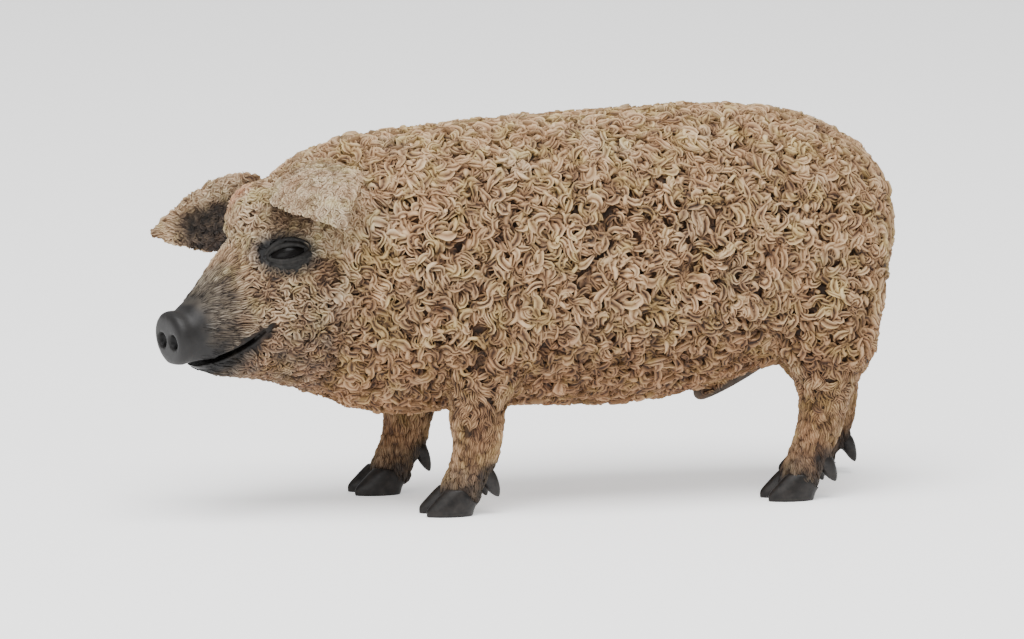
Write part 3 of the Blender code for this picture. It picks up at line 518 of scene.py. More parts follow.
def leg_shape(name):
    """A leg as level ellipses down its sections."""
    rows = leg_rows(name)
    side = LEGS[name][1]
    height, x, out, long, wide = (rows[:, i, None] for i in range(5))
    angle = np.linspace(0, 2 * math.pi, 32, endpoint=False)
    x = x + np.cos(angle) * (long - LEG_COAT)
    y = side * out + np.sin(angle) * (wide - LEG_COAT)
    return tube(np.stack((x, y, height + 0 * angle), -1))


def rod_shape(route, radii, sides=16):
    """A round rod along a route of points, its ends drawn in to a dome."""
    route, radii = np.array(route, float), np.array(radii, float)
    ways = unit(np.gradient(route, axis=0))
    first = unit(np.cross(ways, (0.0, 1.0, 0.0)))
    other = np.cross(ways, first)
    angle = np.linspace(0, 2 * math.pi, sides, endpoint=False)[:, None]
    circle = np.cos(angle) * first[:, None] + np.sin(angle) * other[:, None]
    rings = route[:, None] + circle * radii[:, None, None]
    poles = (route[0] - ways[0] * radii[0] * 0.6, route[-1] + ways[-1] * radii[-1] * 0.6)
    return tube(rings, poles)


def ear_axes(name):
    """An ear's root, the way from there to its tip, and the ways across it and out of its back."""
    root, tip, across, _, back, _ = EARS[name]
    root, long = np.array(root), np.array(tip) - np.array(root)
    across = across_surface(np.array(across), unit(long))
    up = np.cross(long, across)
    return root, long, across, up * np.sign(np.dot(up, back)) / np.linalg.norm(up)


def ear_shape(name, across_steps=17, along_steps=4):
    """An ear as a cupped leaf: across it the middle line drops by cup x v^2, and along it it arches by
    4 x arch x s x (1 - s). Its thickness rounds off to both edges."""
    root, long, across, up = ear_axes(name)
    half, arch = EARS[name][3], EARS[name][5]
    v = np.concatenate((np.linspace(-1, 1, across_steps), np.linspace(1, -1, across_steps)[1:-1]))
    face = np.concatenate((np.ones(across_steps), -np.ones(across_steps - 2)))
    face[[0, across_steps - 1]] = 0
    share, width, thick = smooth_rows(EAR_BLADE, along_steps).T[:, :, None]
    middle = root + long * share[..., None] + up * (arch * 4 * share * (1 - share))[..., None]
    body = (thick / 2) * np.sqrt(np.clip(1.15 - v * v, 0.1, None)) - EAR_INSET * 0.5
    drop = -EAR_CUP * width * v * v + face * body
    rings = middle + (v * (width * half - EAR_INSET))[..., None] * across + drop[..., None] * up
    return tube(rings)


def snout_axes():
    """The middle of the back of the snout disc, and its axes as columns: right, up and the way it faces."""
    facing = HEAD_WAY * math.cos(DISC_LEAN) - np.array((0, 0, math.sin(DISC_LEAN)))
    return head_place(SNOUT_CUT, 0.0, DISC_RISE), np.stack((SIDE_WAY, np.cross(facing, SIDE_WAY), facing), 1)


def snout_shape():
    """The snout turned round its axis through its profile, wider than high, with a nearly flat face."""
    place, turn = snout_axes()
    angle = np.linspace(0, 2 * math.pi, 48, endpoint=False)
    height, share = (column[:, None] for column in smooth_rows(SNOUT_PROFILE, 3).T)
    rings = np.stack(
        (np.cos(angle) * DISC_RADII[0] * share, np.sin(angle) * DISC_RADII[1] * share, height + 0 * angle), -1
    )
    poles = np.array(((0, 0, SNOUT_PROFILE[0][0]), (0, 0, SNOUT_PROFILE[-1][0])))
    return tube(rings @ turn.T + place, poles @ turn.T + place)


def mouth_gap():
    """The gap of the mouth: a strip along its line, as high as it opens, right across the head."""
    ahead, rise, opening = smooth_rows(MOUTH, 4).T
    sides = np.array((-16.0, 16.0))
    low = head_place(ahead, sides[:, None], rise)
    high = head_place(ahead, sides[:, None], rise + opening)
    rings = np.stack((low[0], low[1], high[1], high[0]), 1)
    return tube(rings)


def nostrils():
    """Two ovals that hollow the snout's face."""
    place, turn = snout_axes()
    for side in (-1, 1):
        centre = place + turn @ (side * NOSTRIL_SIDE, NOSTRIL_UP, SNOUT_PROFILE[-1][0] + 0.1)
        yield ball(centre, NOSTRIL_RADII, turn)


def dewclaw_ends(name, part):
    """Sunk root and tip of a dewclaw, and its radius."""
    _, side, _, hoof, (back, rise) = LEGS[name]
    root, tip, out, radius = next(row[1:] for row in DEWCLAWS if row[0] == part)
    y = side * (FOOT_OUT + out)
    start = np.array((hoof + back + root[0], y, root[1] + rise))
    return start, np.array((hoof + back + tip[0], y + side * out * 0.08, tip[1] + rise)), radius


def flesh_shapes():
    """The overlapping solids of the whole figure but for the head's features."""
    rows = smooth_rows(body_rows(), 5)
    rump = np.array((TRUNK[0][0] + 0.3, 0.0, TRUNK[0][1]))
    rings = section_rings(rows)
    shapes = [tube(rings, (rump, rings[-1].mean(0)))]
    shapes += [leg_shape(name) for name in LEGS]
    for centre, radii in SWELLINGS:
        for side in (-1, 1):
            place = np.array((centre[0], side * centre[1], centre[2]))
            shapes.append(ball(place, np.array(radii) - BODY_COAT))
    for name in LEGS:
        for part in ("outer", "inner"):
            start, end, radius = dewclaw_ends(name, part)
            middle = start + (end - start) * 0.1 - BUMP_AHEAD
            shapes.append(ball(middle, np.array(DEWCLAW_BUMP) * radius))
    start, end, radius = SHEATH
    route = np.linspace(start, end, 9)
    shapes.append(rod_shape(route, radius * np.sqrt(1 - np.linspace(-0.3, 0.85, 9) ** 2)))
    return shapes


def tail_shape():
    """The tail as a bent, tapering rod."""
    route = smooth_rows(np.column_stack((TAIL, TAIL_RADII)), 4)
    return rod_shape(route[:, :3], route[:, 3] - TAIL_INSET)


def head_skin_shape():
    """The head with its snout, ears and mouth, from the shoulders on: the part ahead of the seam is shown."""
    rows = smooth_rows(body_rows()[9:], 6)
    rings = section_rings(rows[rows[:, 0] > head_place(SNOUT_CUT, 0, 0)[0]])
    core = section_rings(rows[rows[:, 0] > head_place(MOUTH_CORE_END, 0, 0)[0]], MOUTH_DEPTH)
    place, radii = FOREHEAD
    forehead = ball(head_place(*place), radii, np.stack((HEAD_WAY, SIDE_WAY, (0, 0, 1)), 1))
    solids = together([tube(rings), snout_shape(), forehead, *map(ear_shape, EARS)])
    cutters = [mouth_gap(), *nostrils()]
    head = fused(mesh_object("head_skin", *solids), *COARSE_HEAD_SKIN, cutters)
    filling = mesh_object("mouth_core", *tube(core))
    join = head.modifiers.new("join", "BOOLEAN")
    join.operation = "UNION"
    join.solver = "MANIFOLD"
    join.object = filling
    fused(head, *HEAD_SKIN)
    bpy.data.objects.remove(filling)
    return head


# Where the coat changes


FAR = 9.0
SINES = 7


def on_leg(points):
    """1 on the legs below the body and 0 elsewhere, from each leg's ellipse at the height of the point."""
    share = np.zeros(points.shape[:-1])
    for name, (_, side, *_) in LEGS.items():
        rows = leg_rows(name)[::-1]
        x, out, long, wide = (np.interp(points[..., 2], rows[:, 0], rows[:, i]) for i in range(1, 5))
        near = np.hypot((points[..., 0] - x) / long, (points[..., 1] - side * out) / wide)
        near = near / (2.0 - ease(points[..., 2], 9.0, 13.0))
        share = np.maximum(share, 1 - ease(near, 1.1, 1.5))
    return share * (1 - ease(points[..., 2], 17.0, 25.0))


def near_ear(points, name):
    """1 on an ear's blade and 0 on the head, from the way along the ear."""
    root, long, *_ = ear_axes(name)
    share = ((points - root) @ long) / (long @ long)
    radial = np.linalg.norm(points - root - share[..., None] * long, axis=-1)
    return ease(share, 0.02, 0.14) * (1 - ease(radial, 8.5, 9.5))


def on_sheath(points):
    """1 on the sheath under the belly and 0 elsewhere, from the distance to its middle line."""
    start, end, radius = (np.array(part) for part in SHEATH)
    share = np.clip(((points - start) @ (end - start)) / ((end - start) @ (end - start)), 0, 1)
    away = np.linalg.norm(points - start - share[..., None] * (end - start), axis=-1)
    return 1 - ease(away / radius, 1.0, 1.7)


def sheath_edge(points):
    """1 along the bare lower edge of the sheath, and 0 elsewhere."""
    start, end, _ = SHEATH
    middle = np.interp(points[..., 0], (end[0], start[0]), (end[2], start[2]))
    low = np.maximum(ease(middle - points[..., 2], -0.1, 1.2), ease(end[0] + 1.4 - points[..., 0], 0.0, 1.4))
    return on_sheath(points) * low


def near_dewclaws(points):
    """1 close round the roots of the dewclaws, and 0 elsewhere."""
    close = np.zeros(points.shape[:-1])
    for name in LEGS:
        for part in ("outer", "inner"):
            start, end, radius = dewclaw_ends(name, part)
            away = np.linalg.norm(points - start - (end - start) * 0.3, axis=-1)
            close = np.maximum(close, 1 - ease(away, radius * 1.6, radius * 3.0))
    return close


def mouth_line(points):
    """Distance in height from the gap of the mouth along the sides of the muzzle, and far elsewhere."""
    ahead, _ = ahead_side(points)
    gap = np.abs(points[..., 2] - np.interp(ahead, MOUTH_AHEAD, MOUTH_RISE) - MOUTH_MIDDLE)
    return np.where((ahead > MOUTH_AHEAD[0] - 0.5) & (ahead < SNOUT_CUT), gap, FAR)


def drift(points, seed, wave):
    """Smooth random values between about -1 and 1 over space: the mean of sines along random directions, with
    waves of about the given length."""
    draw = np.random.default_rng(seed)
    ways = unit(draw.normal(size=(SINES, 3))) * (2 * math.pi / wave) * draw.uniform(0.7, 1.4, (SINES, 1))
    phases = draw.uniform(0, 2 * math.pi, SINES)
    return np.sin(points @ ways.T + phases).mean(-1) * 2.0


# Locks of the coat


# Kinds of lock: ridges that it is scored into, stations along it, length, half width, height over its level,
# lowest and highest level, bend in degrees, hook at the tip in degrees. All lengths are for the trunk and
# shrink with the coat's scale.
KINDS = {
    "filling": (2, 5, 3.0, 0.62, 0.66, 0.05, 0.3, (20, 160), (0, 90)),
    "swirls": (2, 8, 4.5, 0.70, 0.78, 0.1, 0.6, (70, 230), (0, 120)),
    "fans": (3, 6, 3.5, 1.02, 0.76, 0.0, 0.5, (10, 130), (0, 80)),
    "plain": (1, 7, 3.4, 0.42, 0.8, 0.0, 0.5, (20, 200), (0, 110)),
    "fine": (2, 6, 3.1, 0.80, 0.85, 0.0, 0.5, (10, 180), (0, 90)),
    "combed": (3, 6, 4.0, 0.95, 0.85, 0.0, 0.4, (10, 140), (0, 70)),
}
# Ranges in which locks of a kind vary: length, half width, height, and depth of their grooves.
LENGTHS = (0.6, 1.25)
WIDTHS = (0.7, 1.3)
HEIGHTS = (0.85, 1.1)
GROOVES = (0.4, 1.15)
TILT = 0.3  # how far a lock may lean to one side
WEAR = 0.35  # how much of the wash is rubbed off shallow grooves
# Seeds and wave lengths of what neighbouring locks share: heading, height and sway aside in three directions.
HEADING = (5, 14.0)
RISE = (41, 6.0)
SWAY = ((31, 3.2), (32, 3.2), (33, 3.2))
SWAY_REACH = 0.35
LONGEST_STRIDE = 2.2  # how far a lock may stretch between two stations before it is left out
LOCK_OFF_MOUTH = 0.65  # nearest that a lock comes to the middle of the mouth's gap
ROOT_OFF_MOUTH = 0.9
ROOT_OFF_EYE = 0.8
LAST_ROOT = 21.0  # distance ahead of the pivot where the last roots stand
ROOT_SINK = 0.35  # how far a lock's feet lie under the skin
PATCH = 0.003  # size of a lock's patch on the flat unwrap
# Charts of the flat unwrap: left, bottom, width, height. The other legs and ear follow to the right.
TRUNK_CHART = (0.02, 0.36, 0.96, 0.62)
LEG_CHART = (0.02, 0.02, 0.13, 0.3)
NEXT_LEG = 0.15
EAR_CHART = (0.64, 0.02, 0.1, 0.3)
NEXT_EAR = 0.12
# Depth of the coat and scale of its locks on the trunk, the legs and the ears.
TRUNK_LOCKS = (1.3, 0.82)
LEG_LOCKS = (0.62, 0.6)
EAR_LOCKS = (0.3, 0.46)
# The layers of the coat in the order that they are set: kind, room between roots against the scale, how far
# the locks stray from the way that the coat lies in degrees, where they grow.
LAYERS = (
    ("filling", 1.12, 60, "coarse"),
    ("fans", 2.1, 60, "coarse"),
    ("swirls", 1.7, 70, "coarse"),
    ("plain", 2.1, 60, "coarse"),
    ("fine", 0.92, 50, "fine"),
    ("combed", 1.12, 40, "combed"),
)
COARSE_SCALE = 0.7  # scale over which the coat is coarse
COMBED_FROM = 15.0  # distance ahead of the pivot where it is combed
ROOT_CHOICES = 40000  # places on each skin that roots are picked from
# Pieces of the coat: those with a region of their own, then the trunk's with where along the body they end.
REGIONS = ("ears", "legs", "muzzle", "head")
MUZZLE_FROM = 9.0  # distance ahead of the pivot where the muzzle's piece starts
FACE_FROM = -1.0  # and the head's
TRUNK_PIECES = (
    ("neck", -21),
    ("shoulders", -5),
    ("barrel_front", 12),
    ("barrel_rear", 29),
    ("hindquarters", 45),
    ("rump", 99),
)


def coat_at(points):
    """Depth of the coat in millimetres and its scale against the trunk's: both shrink towards the face, the
    muzzle, the ears and the feet."""
    ahead, _ = ahead_side(points)
    face = ease(ahead, -3.0, 7.0)
    muzzle = ease(ahead, 12.0, 19.5)
    leg = on_leg(points)
    foot = ease(-points[..., 2], -13.0, -6.0) * leg
    ear = np.maximum(near_ear(points, "ear_left"), near_ear(points, "ear_right"))
    sheath = on_sheath(points)
    depth = TRUNK_LOCKS[0] - 0.6 * face - 0.26 * muzzle - 0.34 * ease(ahead, 17.5, 20.5)
    depth -= 0.25 * ease(points[..., 2], 58.0, 60.0)
    depth += (LEG_LOCKS[0] - depth) * leg - 0.3 * foot
    depth += (EAR_LOCKS[0] - depth) * ear - 0.7 * sheath
    scale = TRUNK_LOCKS[1] - 0.24 * face + 0.03 * muzzle
    scale += (LEG_LOCKS[1] - scale) * leg - 0.15 * foot
    scale += (EAR_LOCKS[1] - scale) * ear - 0.3 * sheath
    return depth, scale


def lie_at(points, outs):
    """The way that the coat lies: back and down on the trunk, back over the face, out along the ears and down
    the legs, laid into the surface."""
    face = ease(ahead_side(points)[0], 0.0, 8.0)[..., None]
    leg = on_leg(points)[..., None]
    ways = np.array((0.5, 0.0, -0.8)) * (1 - face) - HEAD_WAY * face
    ways = ways * (1 - leg) + np.array((0.05, 0.0, -1.0)) * leg
    for name in EARS:
        ear = near_ear(points, name)[..., None]
        ways = ways * (1 - ear) + unit(ear_axes(name)[1]) * ear
    return across_surface(ways, outs)


def spread_out(points, rooms, draw):
    """Picks points in random order, each further than its own room from those picked before it."""
    order = draw.permutation(len(points))
    points, rooms = points[order], rooms[order]
    free = np.ones(len(points), bool)
    picked = []
    index = 0
    while index < len(points):
        picked.append(index)
        near = ((points[index:] - points[index]) ** 2).sum(1) < rooms[index] ** 2
        free[index:] &= ~near
        rest = np.flatnonzero(free[index + 1 :])
        if not len(rest):
            break
        index += 1 + rest[0]
    return order[picked]


def scored_section(ridges):
    """Section of a lock that is scored lengthwise into ridges: share of the half width to the side, drop
    below the crown in half widths, and paint value, which is 0 at the feet. A plain lock has one round
    ridge."""
    if ridges == 1:
        return np.array(((-0.92, 0.0, 0.92, 0.0), (0.55, 0.0, 0.55, 0.0), (0.72, 1.0, 0.72, 0.0)))
    side = np.linspace(-0.9, 0.9, 2 * ridges - 1)
    groove = np.arange(2 * ridges - 1) % 2
    drop = 0.2 * side**2 + groove * 1.2 / ridges
    value = 1.0 - 0.9 * groove
    return np.array(((*side, 0.75, -0.75), (*drop, 0, 0), (*value, 0, 0)))


def locks(roots, outs, kind, spreading, target, draw):
    """Curled locks on a surface, each scored lengthwise into ridges.

    The middle line of a lock is a curve in the plane that touches the skin at its root. Its heading turns
    evenly by the bend and, past three fifths of the way, by the hook. It is then laid on the skin, and at
    each station a section stands up along the way out, as wide as (s + 0.12)^0.35 x (1 - s^2.4)^0.8 of the
    way s. A lock that would bridge two parts of the body or cross the mouth is left out. Returns the locks'
    points, shaped (locks, stations, section, 3), the ends' points, the paint values and the roots.
    """
    ridges, stations, length, half, height, low, high, bends, hooks = KINDS[kind]
    # The middle lines, first flat and then laid on the skin
    depth, scale = coat_at(roots)
    low_leg = on_leg(roots) * ease(-roots[:, 2], -20.0, -9.0)
    straight = 1 - 0.85 * np.maximum(ease(ahead_side(roots)[0], 12.0, 17.0), low_leg)
    total = len(roots)
    s = np.linspace(0, 1, stations)
    sign = draw.choice((-1.0, 1.0), total) * straight
    bend = np.radians(draw.uniform(*bends, total)) * sign
    hook = np.radians(draw.uniform(*hooks, total)) * sign * draw.choice((1.0, 1.0, -1.0), total)
    turn = np.radians(draw.normal(0, spreading, total)) * straight + 0.9 * straight * drift(roots, *HEADING)
    lie = lie_at(roots, outs)
    aside = np.cross(outs, lie)
    first = lie * np.cos(turn)[:, None] + aside * np.sin(turn)[:, None]
    aside = np.cross(outs, first)
    long = length * scale * draw.uniform(*LENGTHS, total)
    heading = bend[:, None] * (s - 0.5) + hook[:, None] * np.clip((s - 0.6) / 0.4, 0, 1) ** 1.5
    ways = np.stack((np.cos(heading), np.sin(heading)), -1)
    steps = (ways[:, 1:] + ways[:, :-1]) / 2 * (long / (stations - 1))[:, None, None]
    route = np.concatenate((np.zeros((total, 1, 2)), np.cumsum(steps, 1)), 1)
    route -= route[:, stations // 2, None]
    points = roots[:, None] + route[..., :1] * first[:, None] + route[..., 1:] * aside[:, None]
    sway = np.stack([drift(points, *part) for part in SWAY], -1)
    points = points + sway * (SWAY_REACH * scale)[:, None, None]
    places, rise = snap(points, target)
    stride = np.linalg.norm(np.diff(places, axis=1), axis=-1).max(1)
    whole = (stride < LONGEST_STRIDE * long / (stations - 1)) & (mouth_line(places).min(1) > LOCK_OFF_MOUTH)
    places, rise, roots, depth, scale = (part[whole] for part in (places, rise, roots, depth, scale))
    # Width, height and scored sections along them
    total = len(roots)
    depth, scale = depth[:, None], scale[:, None]
    along = across_surface(np.gradient(places, axis=1), rise)
    beside = np.cross(rise, along)
    phase, beats = draw.uniform(0, 2 * math.pi, (2, total, 1)), draw.uniform(0.5, 1.6, (total, 1))
    grown = ease(s, -0.05, 0.35) * (1 - 0.6 * ease(s, 0.7, 1.0))
    level = draw.uniform(low, high, (total, 1)) + 0.3 * drift(roots, *RISE)[:, None]
    crown = height * draw.uniform(*HEIGHTS, (total, 1)) * (1 + 0.1 * np.sin(6.3 * beats * s + phase[1]))
    top = (level + crown) / 1.35 * depth * (0.12 + 0.88 * grown)
    swell = 1.35 * ((s + 0.12) / 1.12) ** 0.35 * (1 - s**2.4) ** 0.8 + 0.06
    width = half * scale * draw.uniform(*WIDTHS, (total, 1)) * swell
    width = width * (1 + 0.22 * np.sin(6.3 * beats * s + phase[0]))
    side, drop, value = scored_section(ridges)
    foot = value == 0
    shape = (total, 1, len(side))
    waves = np.sin(6.3 * draw.uniform(0.4, 1.2, shape) * s[:, None] + draw.uniform(0, 6.3, shape))
    across = side + waves * np.where(foot, 0.0, 0.28 / ridges)
    deep = draw.uniform(*GROOVES, shape)
    tilt = draw.uniform(-TILT, TILT, (total, 1, 1)) * side
    lift = top[..., None] - (drop * deep + tilt) * width[..., None]
    lift = np.where(foot, -ROOT_SINK, np.maximum(lift, -0.1))
    rings = places[:, :, None] + beside[:, :, None] * (across * width[..., None])[..., None]
    rings = rings + rise[:, :, None] * lift[..., None]
    ends = np.stack(
        (
            places[:, 0] - along[:, 0] * width[:, :1] * 0.5 - rise[:, 0] * 0.15,
            places[:, -1] + along[:, -1] * width[:, -1:] * 0.8 + rise[:, -1] * (top[:, -1:] - width[:, -1:]),
        ),
        1,
    )
    # Wash in the grooves and a dry brush on the crests. Lower locks and the roots of locks are painted
    # darker, partly as wash and partly as painted shade.
    worn = np.where((value < 0.5) & ~foot, WEAR * (GROOVES[1] - deep), 0.0)
    paint = (value + worn) * (0.05 + 0.88 * np.clip(top / depth, 0, 1.2))[..., None]
    paint = paint + np.where(foot, 0.04, draw.uniform(-0.16, 0.06, (total, 1, 1)))
    ends_paint = np.stack((paint[:, 0].min(1), paint[:, -1].mean(1)), 1)
    return rings, ends, np.maximum(paint, GAP_CREST), ends_paint, roots


def on_chart(across, up, chart, shift=0.0):
    """Places on the flat unwrap from shares of a chart's width and height."""
    left, bottom, width, height = chart
    return np.stack((left + shift + width * across, bottom + height * up), -1)


def unwrapped(points):
    """Where a place on the skin lies on its flat unwrap, each in 0 to 1: the trunk and head are rolled out
    round their axis, and under them lie the legs, the ears and the tail, each rolled out round its own."""
    x, y, z = points[..., 0], points[..., 1], points[..., 2]
    ahead, side = ahead_side(points)
    face = ease(ahead, -4.0, 4.0)
    round_it = np.arctan2(z - 35.0, y * (1 - face) + side * face) / (2 * math.pi) + 0.5
    flat = on_chart((60.0 - x) / 122.0, round_it, TRUNK_CHART)
    for number, (name, (_, side_of, *_)) in enumerate(LEGS.items()):
        rows = leg_rows(name)[::-1]
        middle = np.interp(z, rows[:, 0], rows[:, 1])
        out = np.interp(z, rows[:, 0], rows[:, 2])
        round_it = np.arctan2(y - side_of * out, x - middle) / (2 * math.pi) + 0.5
        place = on_chart(round_it, np.clip(z / STEP_NONE, 0, 1), LEG_CHART, NEXT_LEG * number)
        mine = (on_leg(points) > 0.5) & (y * side_of > 0) & ((x < 15) == (number < 2))
        flat = np.where(mine[..., None], place, flat)
    for number, name in enumerate(EARS):
        root, long, across, _ = ear_axes(name)
        share = ((points - root) @ long) / (long @ long)
        cross = ((points - root) @ across) / 18 + 0.5
        place = on_chart(cross, share, EAR_CHART, NEXT_EAR * number)
        flat = np.where((near_ear(points, name) > 0.5)[..., None], place, flat)
    return np.clip(flat, 0.004, 0.996)


def lock_shapes(rings, ends, paint, ends_paint, roots):
    """Many locks as points, quads and triangles, each lock a closed tube, with the paint value of every
    point, the place of every corner on the flat unwrap, where each lock has a small patch of its own, and
    the number of points in a section."""
    count, stations, sides = rings.shape[:3]
    points = np.concatenate((rings.reshape(count, -1, 3), ends), 1)
    quads, triangles = tube_faces(stations, sides)
    start = (np.arange(count) * points.shape[1])[:, None, None]
    values = np.concatenate((paint.reshape(count, -1), ends_paint), 1).ravel()
    i, j = (part.ravel() for part in np.meshgrid(np.arange(stations - 1), np.arange(sides), indexing="ij"))
    along = np.stack((i, i, i + 1, i + 1), -1) / stations
    round_it = np.stack((j, j + 1, j + 1, j), -1) / sides
    quad_patch = np.stack((along, round_it), -1)
    j = np.arange(sides)
    low, high = np.zeros((sides, 3)), np.full((sides, 3), 1 - 1 / stations)
    low[:, 0], high[:, 0] = -0.1, 1.0
    first = np.stack((low, np.stack((j + 0.5, j + 1, j), -1) / sides), -1)
    last = np.stack((high, np.stack((j + 0.5, j, j + 1), -1) / sides), -1)
    flat = unwrapped(roots)[:, None]
    quad_places, fan_places = (
        (flat + (patch.reshape(-1, 2) - 0.5) * PATCH).reshape(-1, 2)
        for patch in (quad_patch, np.concatenate((first, last)))
    )
    faces = (quads + start).reshape(-1, 4), (triangles + start).reshape(-1, 3)
    return points.reshape(-1, 3), *faces, values, quad_places, fan_places, sides


def crease_lengthwise(mesh, sides):
    """Marks the lengthwise edges of scored locks as creases, so that light breaks at every ridge and groove.
    They join points that lie one section apart."""
    edges = np.empty(len(mesh.edges) * 2, np.int32)
    mesh.edges.foreach_get("vertices", edges)
    first, second = edges.reshape(-1, 2).T
    creased = (np.abs(first - second) == sides[first]) & (sides[first] > 4)
    mesh.attributes.new("sharp_edge", "BOOLEAN", "EDGE").data.foreach_set("value", creased)


def coat_object(name, shapes):
    """One mesh of many locks, held inside the solids' box, with its paint and its flat unwrap."""
    points, quads, triangles = together([shape[:3] for shape in shapes])
    low, high = (np.array(corner) / MM - SHIFT for corner in CAD_BOX)
    points = np.clip(points, low + 0.02, high - 0.02)
    obj = mesh_object(name, points, quads, triangles)
    crease_lengthwise(obj.data, np.concatenate([np.full(len(shape[0]), shape[6]) for shape in shapes]))
    add_paint(obj, points, np.concatenate([shape[3] for shape in shapes]))
    places = np.concatenate([shape[4] for shape in shapes] + [shape[5] for shape in shapes])
    layer = obj.data.uv_layers.new(name="OFBake")
    layer.data.foreach_set("uv", places.astype(np.float32).ravel())
    return obj


# Paint


# Values on the vertices of the coat and skins: how far up a crest each is, and its share of each colour.
PAINT_VALUES = ("crest", "charcoal", "grey", "straw", "rust", "pink")
BARE_CREST = 0.62  # the crest value of smooth bare skin
GAP_CREST = 0.08  # the lowest crest value of a lock
PATCH_DRIFT = (21, 9.0)
SPECK_DRIFT = (22, 3.0)
PINK_PATCH = (10.6, 3.4, 48.0)  # middle of the pink skin between the ears: ahead, side, height


def eye_oval(points):
    """Distance from the nearer eye, as 1 on the edge of the dark oval round it."""
    ovals = []
    for middle in EYES.values():
        away = points - middle
        along = (away @ HEAD_WAY - EYE_OVAL_AHEAD) / EYE_OVAL[0]
        up, aside = away[..., 2] / EYE_OVAL[1], (away @ SIDE_WAY) / EYE_OVAL[2]
        ovals.append(np.sqrt(along**2 + up**2 + aside**2))
    return np.minimum(*ovals)


def ear_place(points, name):
    """Where points lie against an ear's blade: share of the way to the tip, share of the half width across,
    and height over the blade's middle on the side of its back."""
    root, long, across, up = ear_axes(name)
    half, arch = EARS[name][3], EARS[name][5]
    share = ((points - root) @ long) / (long @ long)
    width = np.interp(share, *np.array(EAR_BLADE)[:, :2].T)
    v = ((points - root) @ across) / (half * width)
    height = (points - root) @ up - arch * 4 * share * (1 - share) + EAR_CUP * width * v * v
    return share, v, height


def painted_ear_hollow_shade(points):
    """1 on the hollow side of an ear's blade, fading to its rim, where shade is painted, and 0 elsewhere."""
    hollow = np.zeros(points.shape[:-1])
    for name in EARS:
        share, v, height = ear_place(points, name)
        mine = ease(-height, 0.0, 0.3) * (1 - ease(-height, 1.5, 2.2)) * (1 - ease(v, 0.15, 0.6))
        mine = mine * (1 - ease(-v, 0.85, 1.0)) * (1 - ease(share, 0.62, 0.86))
        hollow = np.maximum(hollow, mine * near_ear(points, name))
    return hollow


def painted_ear_shadow(points):
    """1 on the head close under the near ear's blade, where the ear's shadow is painted, and 0 elsewhere."""
    share, v, height = ear_place(points, "ear_left")
    below = ease(-height, 1.2, 2.0) * (1 - ease(-height, 5.5, 9.0))
    across = (1 - ease(-v, 0.95, 1.3)) * (1 - ease(v, 0.4, 0.95))
    return below * across * ease(share, 0.0, 0.1) * (1 - ease(share, 1.0, 1.15))


def paint_zones(points):
    """Shares of the painted colours at each place: charcoal, grey, straw, rust and pink."""
    z = points[..., 2]
    ahead, _ = ahead_side(points)
    patch = drift(points, *PATCH_DRIFT)
    speck = drift(points, *SPECK_DRIFT)
    leg = on_leg(points)
    mouth_near = np.clip(1 - np.abs(z - np.interp(ahead, MOUTH_AHEAD, MOUTH_RISE)) / 4.0, 0, 1)
    muzzle = ahead + 3.0 * mouth_near - 0.16 * (z - 28) + 0.5 * speck
    charcoal = ease(muzzle, 18.0, 22.5)
    grey = 0.85 * ease(muzzle, 13.0, 18.5)
    oval = eye_oval(points)
    charcoal = np.maximum(charcoal, 1 - ease(oval + 0.08 * speck, 0.72, 1.05))
    grey = np.maximum(grey, 0.7 * (1 - ease(oval, 0.95, 1.5)))
    lips = 1 - ease(mouth_line(points), 0.4, 1.1)
    grey, charcoal = np.maximum(grey, 0.6 * lips), np.maximum(charcoal, 0.7 * lips)
    groin = sheath_edge(points)
    grey, charcoal = np.maximum(grey, 0.85 * groin), np.maximum(charcoal, (0.12 + 0.1 * speck) * groin)
    charcoal = np.maximum(charcoal, 0.8 * near_dewclaws(points))
    pastern = z - 0.7 * speck
    charcoal = np.maximum(charcoal, 0.85 * leg * (1 - ease(pastern, 2.6, 6.6)))
    grey = np.maximum(grey, 0.5 * leg * (1 - ease(pastern, 4.5, 10.0)))
    back_of_ear = near_ear(points, "ear_left")
    # The painted shade in the ears' hollows is laid on in grey as well.
    grey = np.maximum(grey, np.maximum(0.2 * back_of_ear, 0.7 * painted_ear_hollow_shade(points)))
    straw = ease(ahead, -2.0, 8.0) * (0.85 + 0.2 * patch) + 0.5 * ease(patch, 0.4, 1.1)
    jaw = ease(ahead, 0.0, 4.0) * (1 - ease(z + 0.5 * ahead, 32.0, 38.0))
    rust = 0.8 * ease(-z + 4 * patch, -32.0, -19.0) * (1 - 0.75 * leg)
    rust += 0.4 * ease(-patch, 0.4, 1.2) + 0.5 * jaw
    grey = np.maximum(grey, jaw * (0.3 + 0.25 * speck))
    between_ears = np.linalg.norm(points - head_place(*PINK_PATCH), axis=-1)
    pink = 0.65 * (1 - ease(between_ears, 1.4, 4.8))
    return [np.clip(value, 0, 1) for value in (charcoal, grey, straw, rust, pink)]


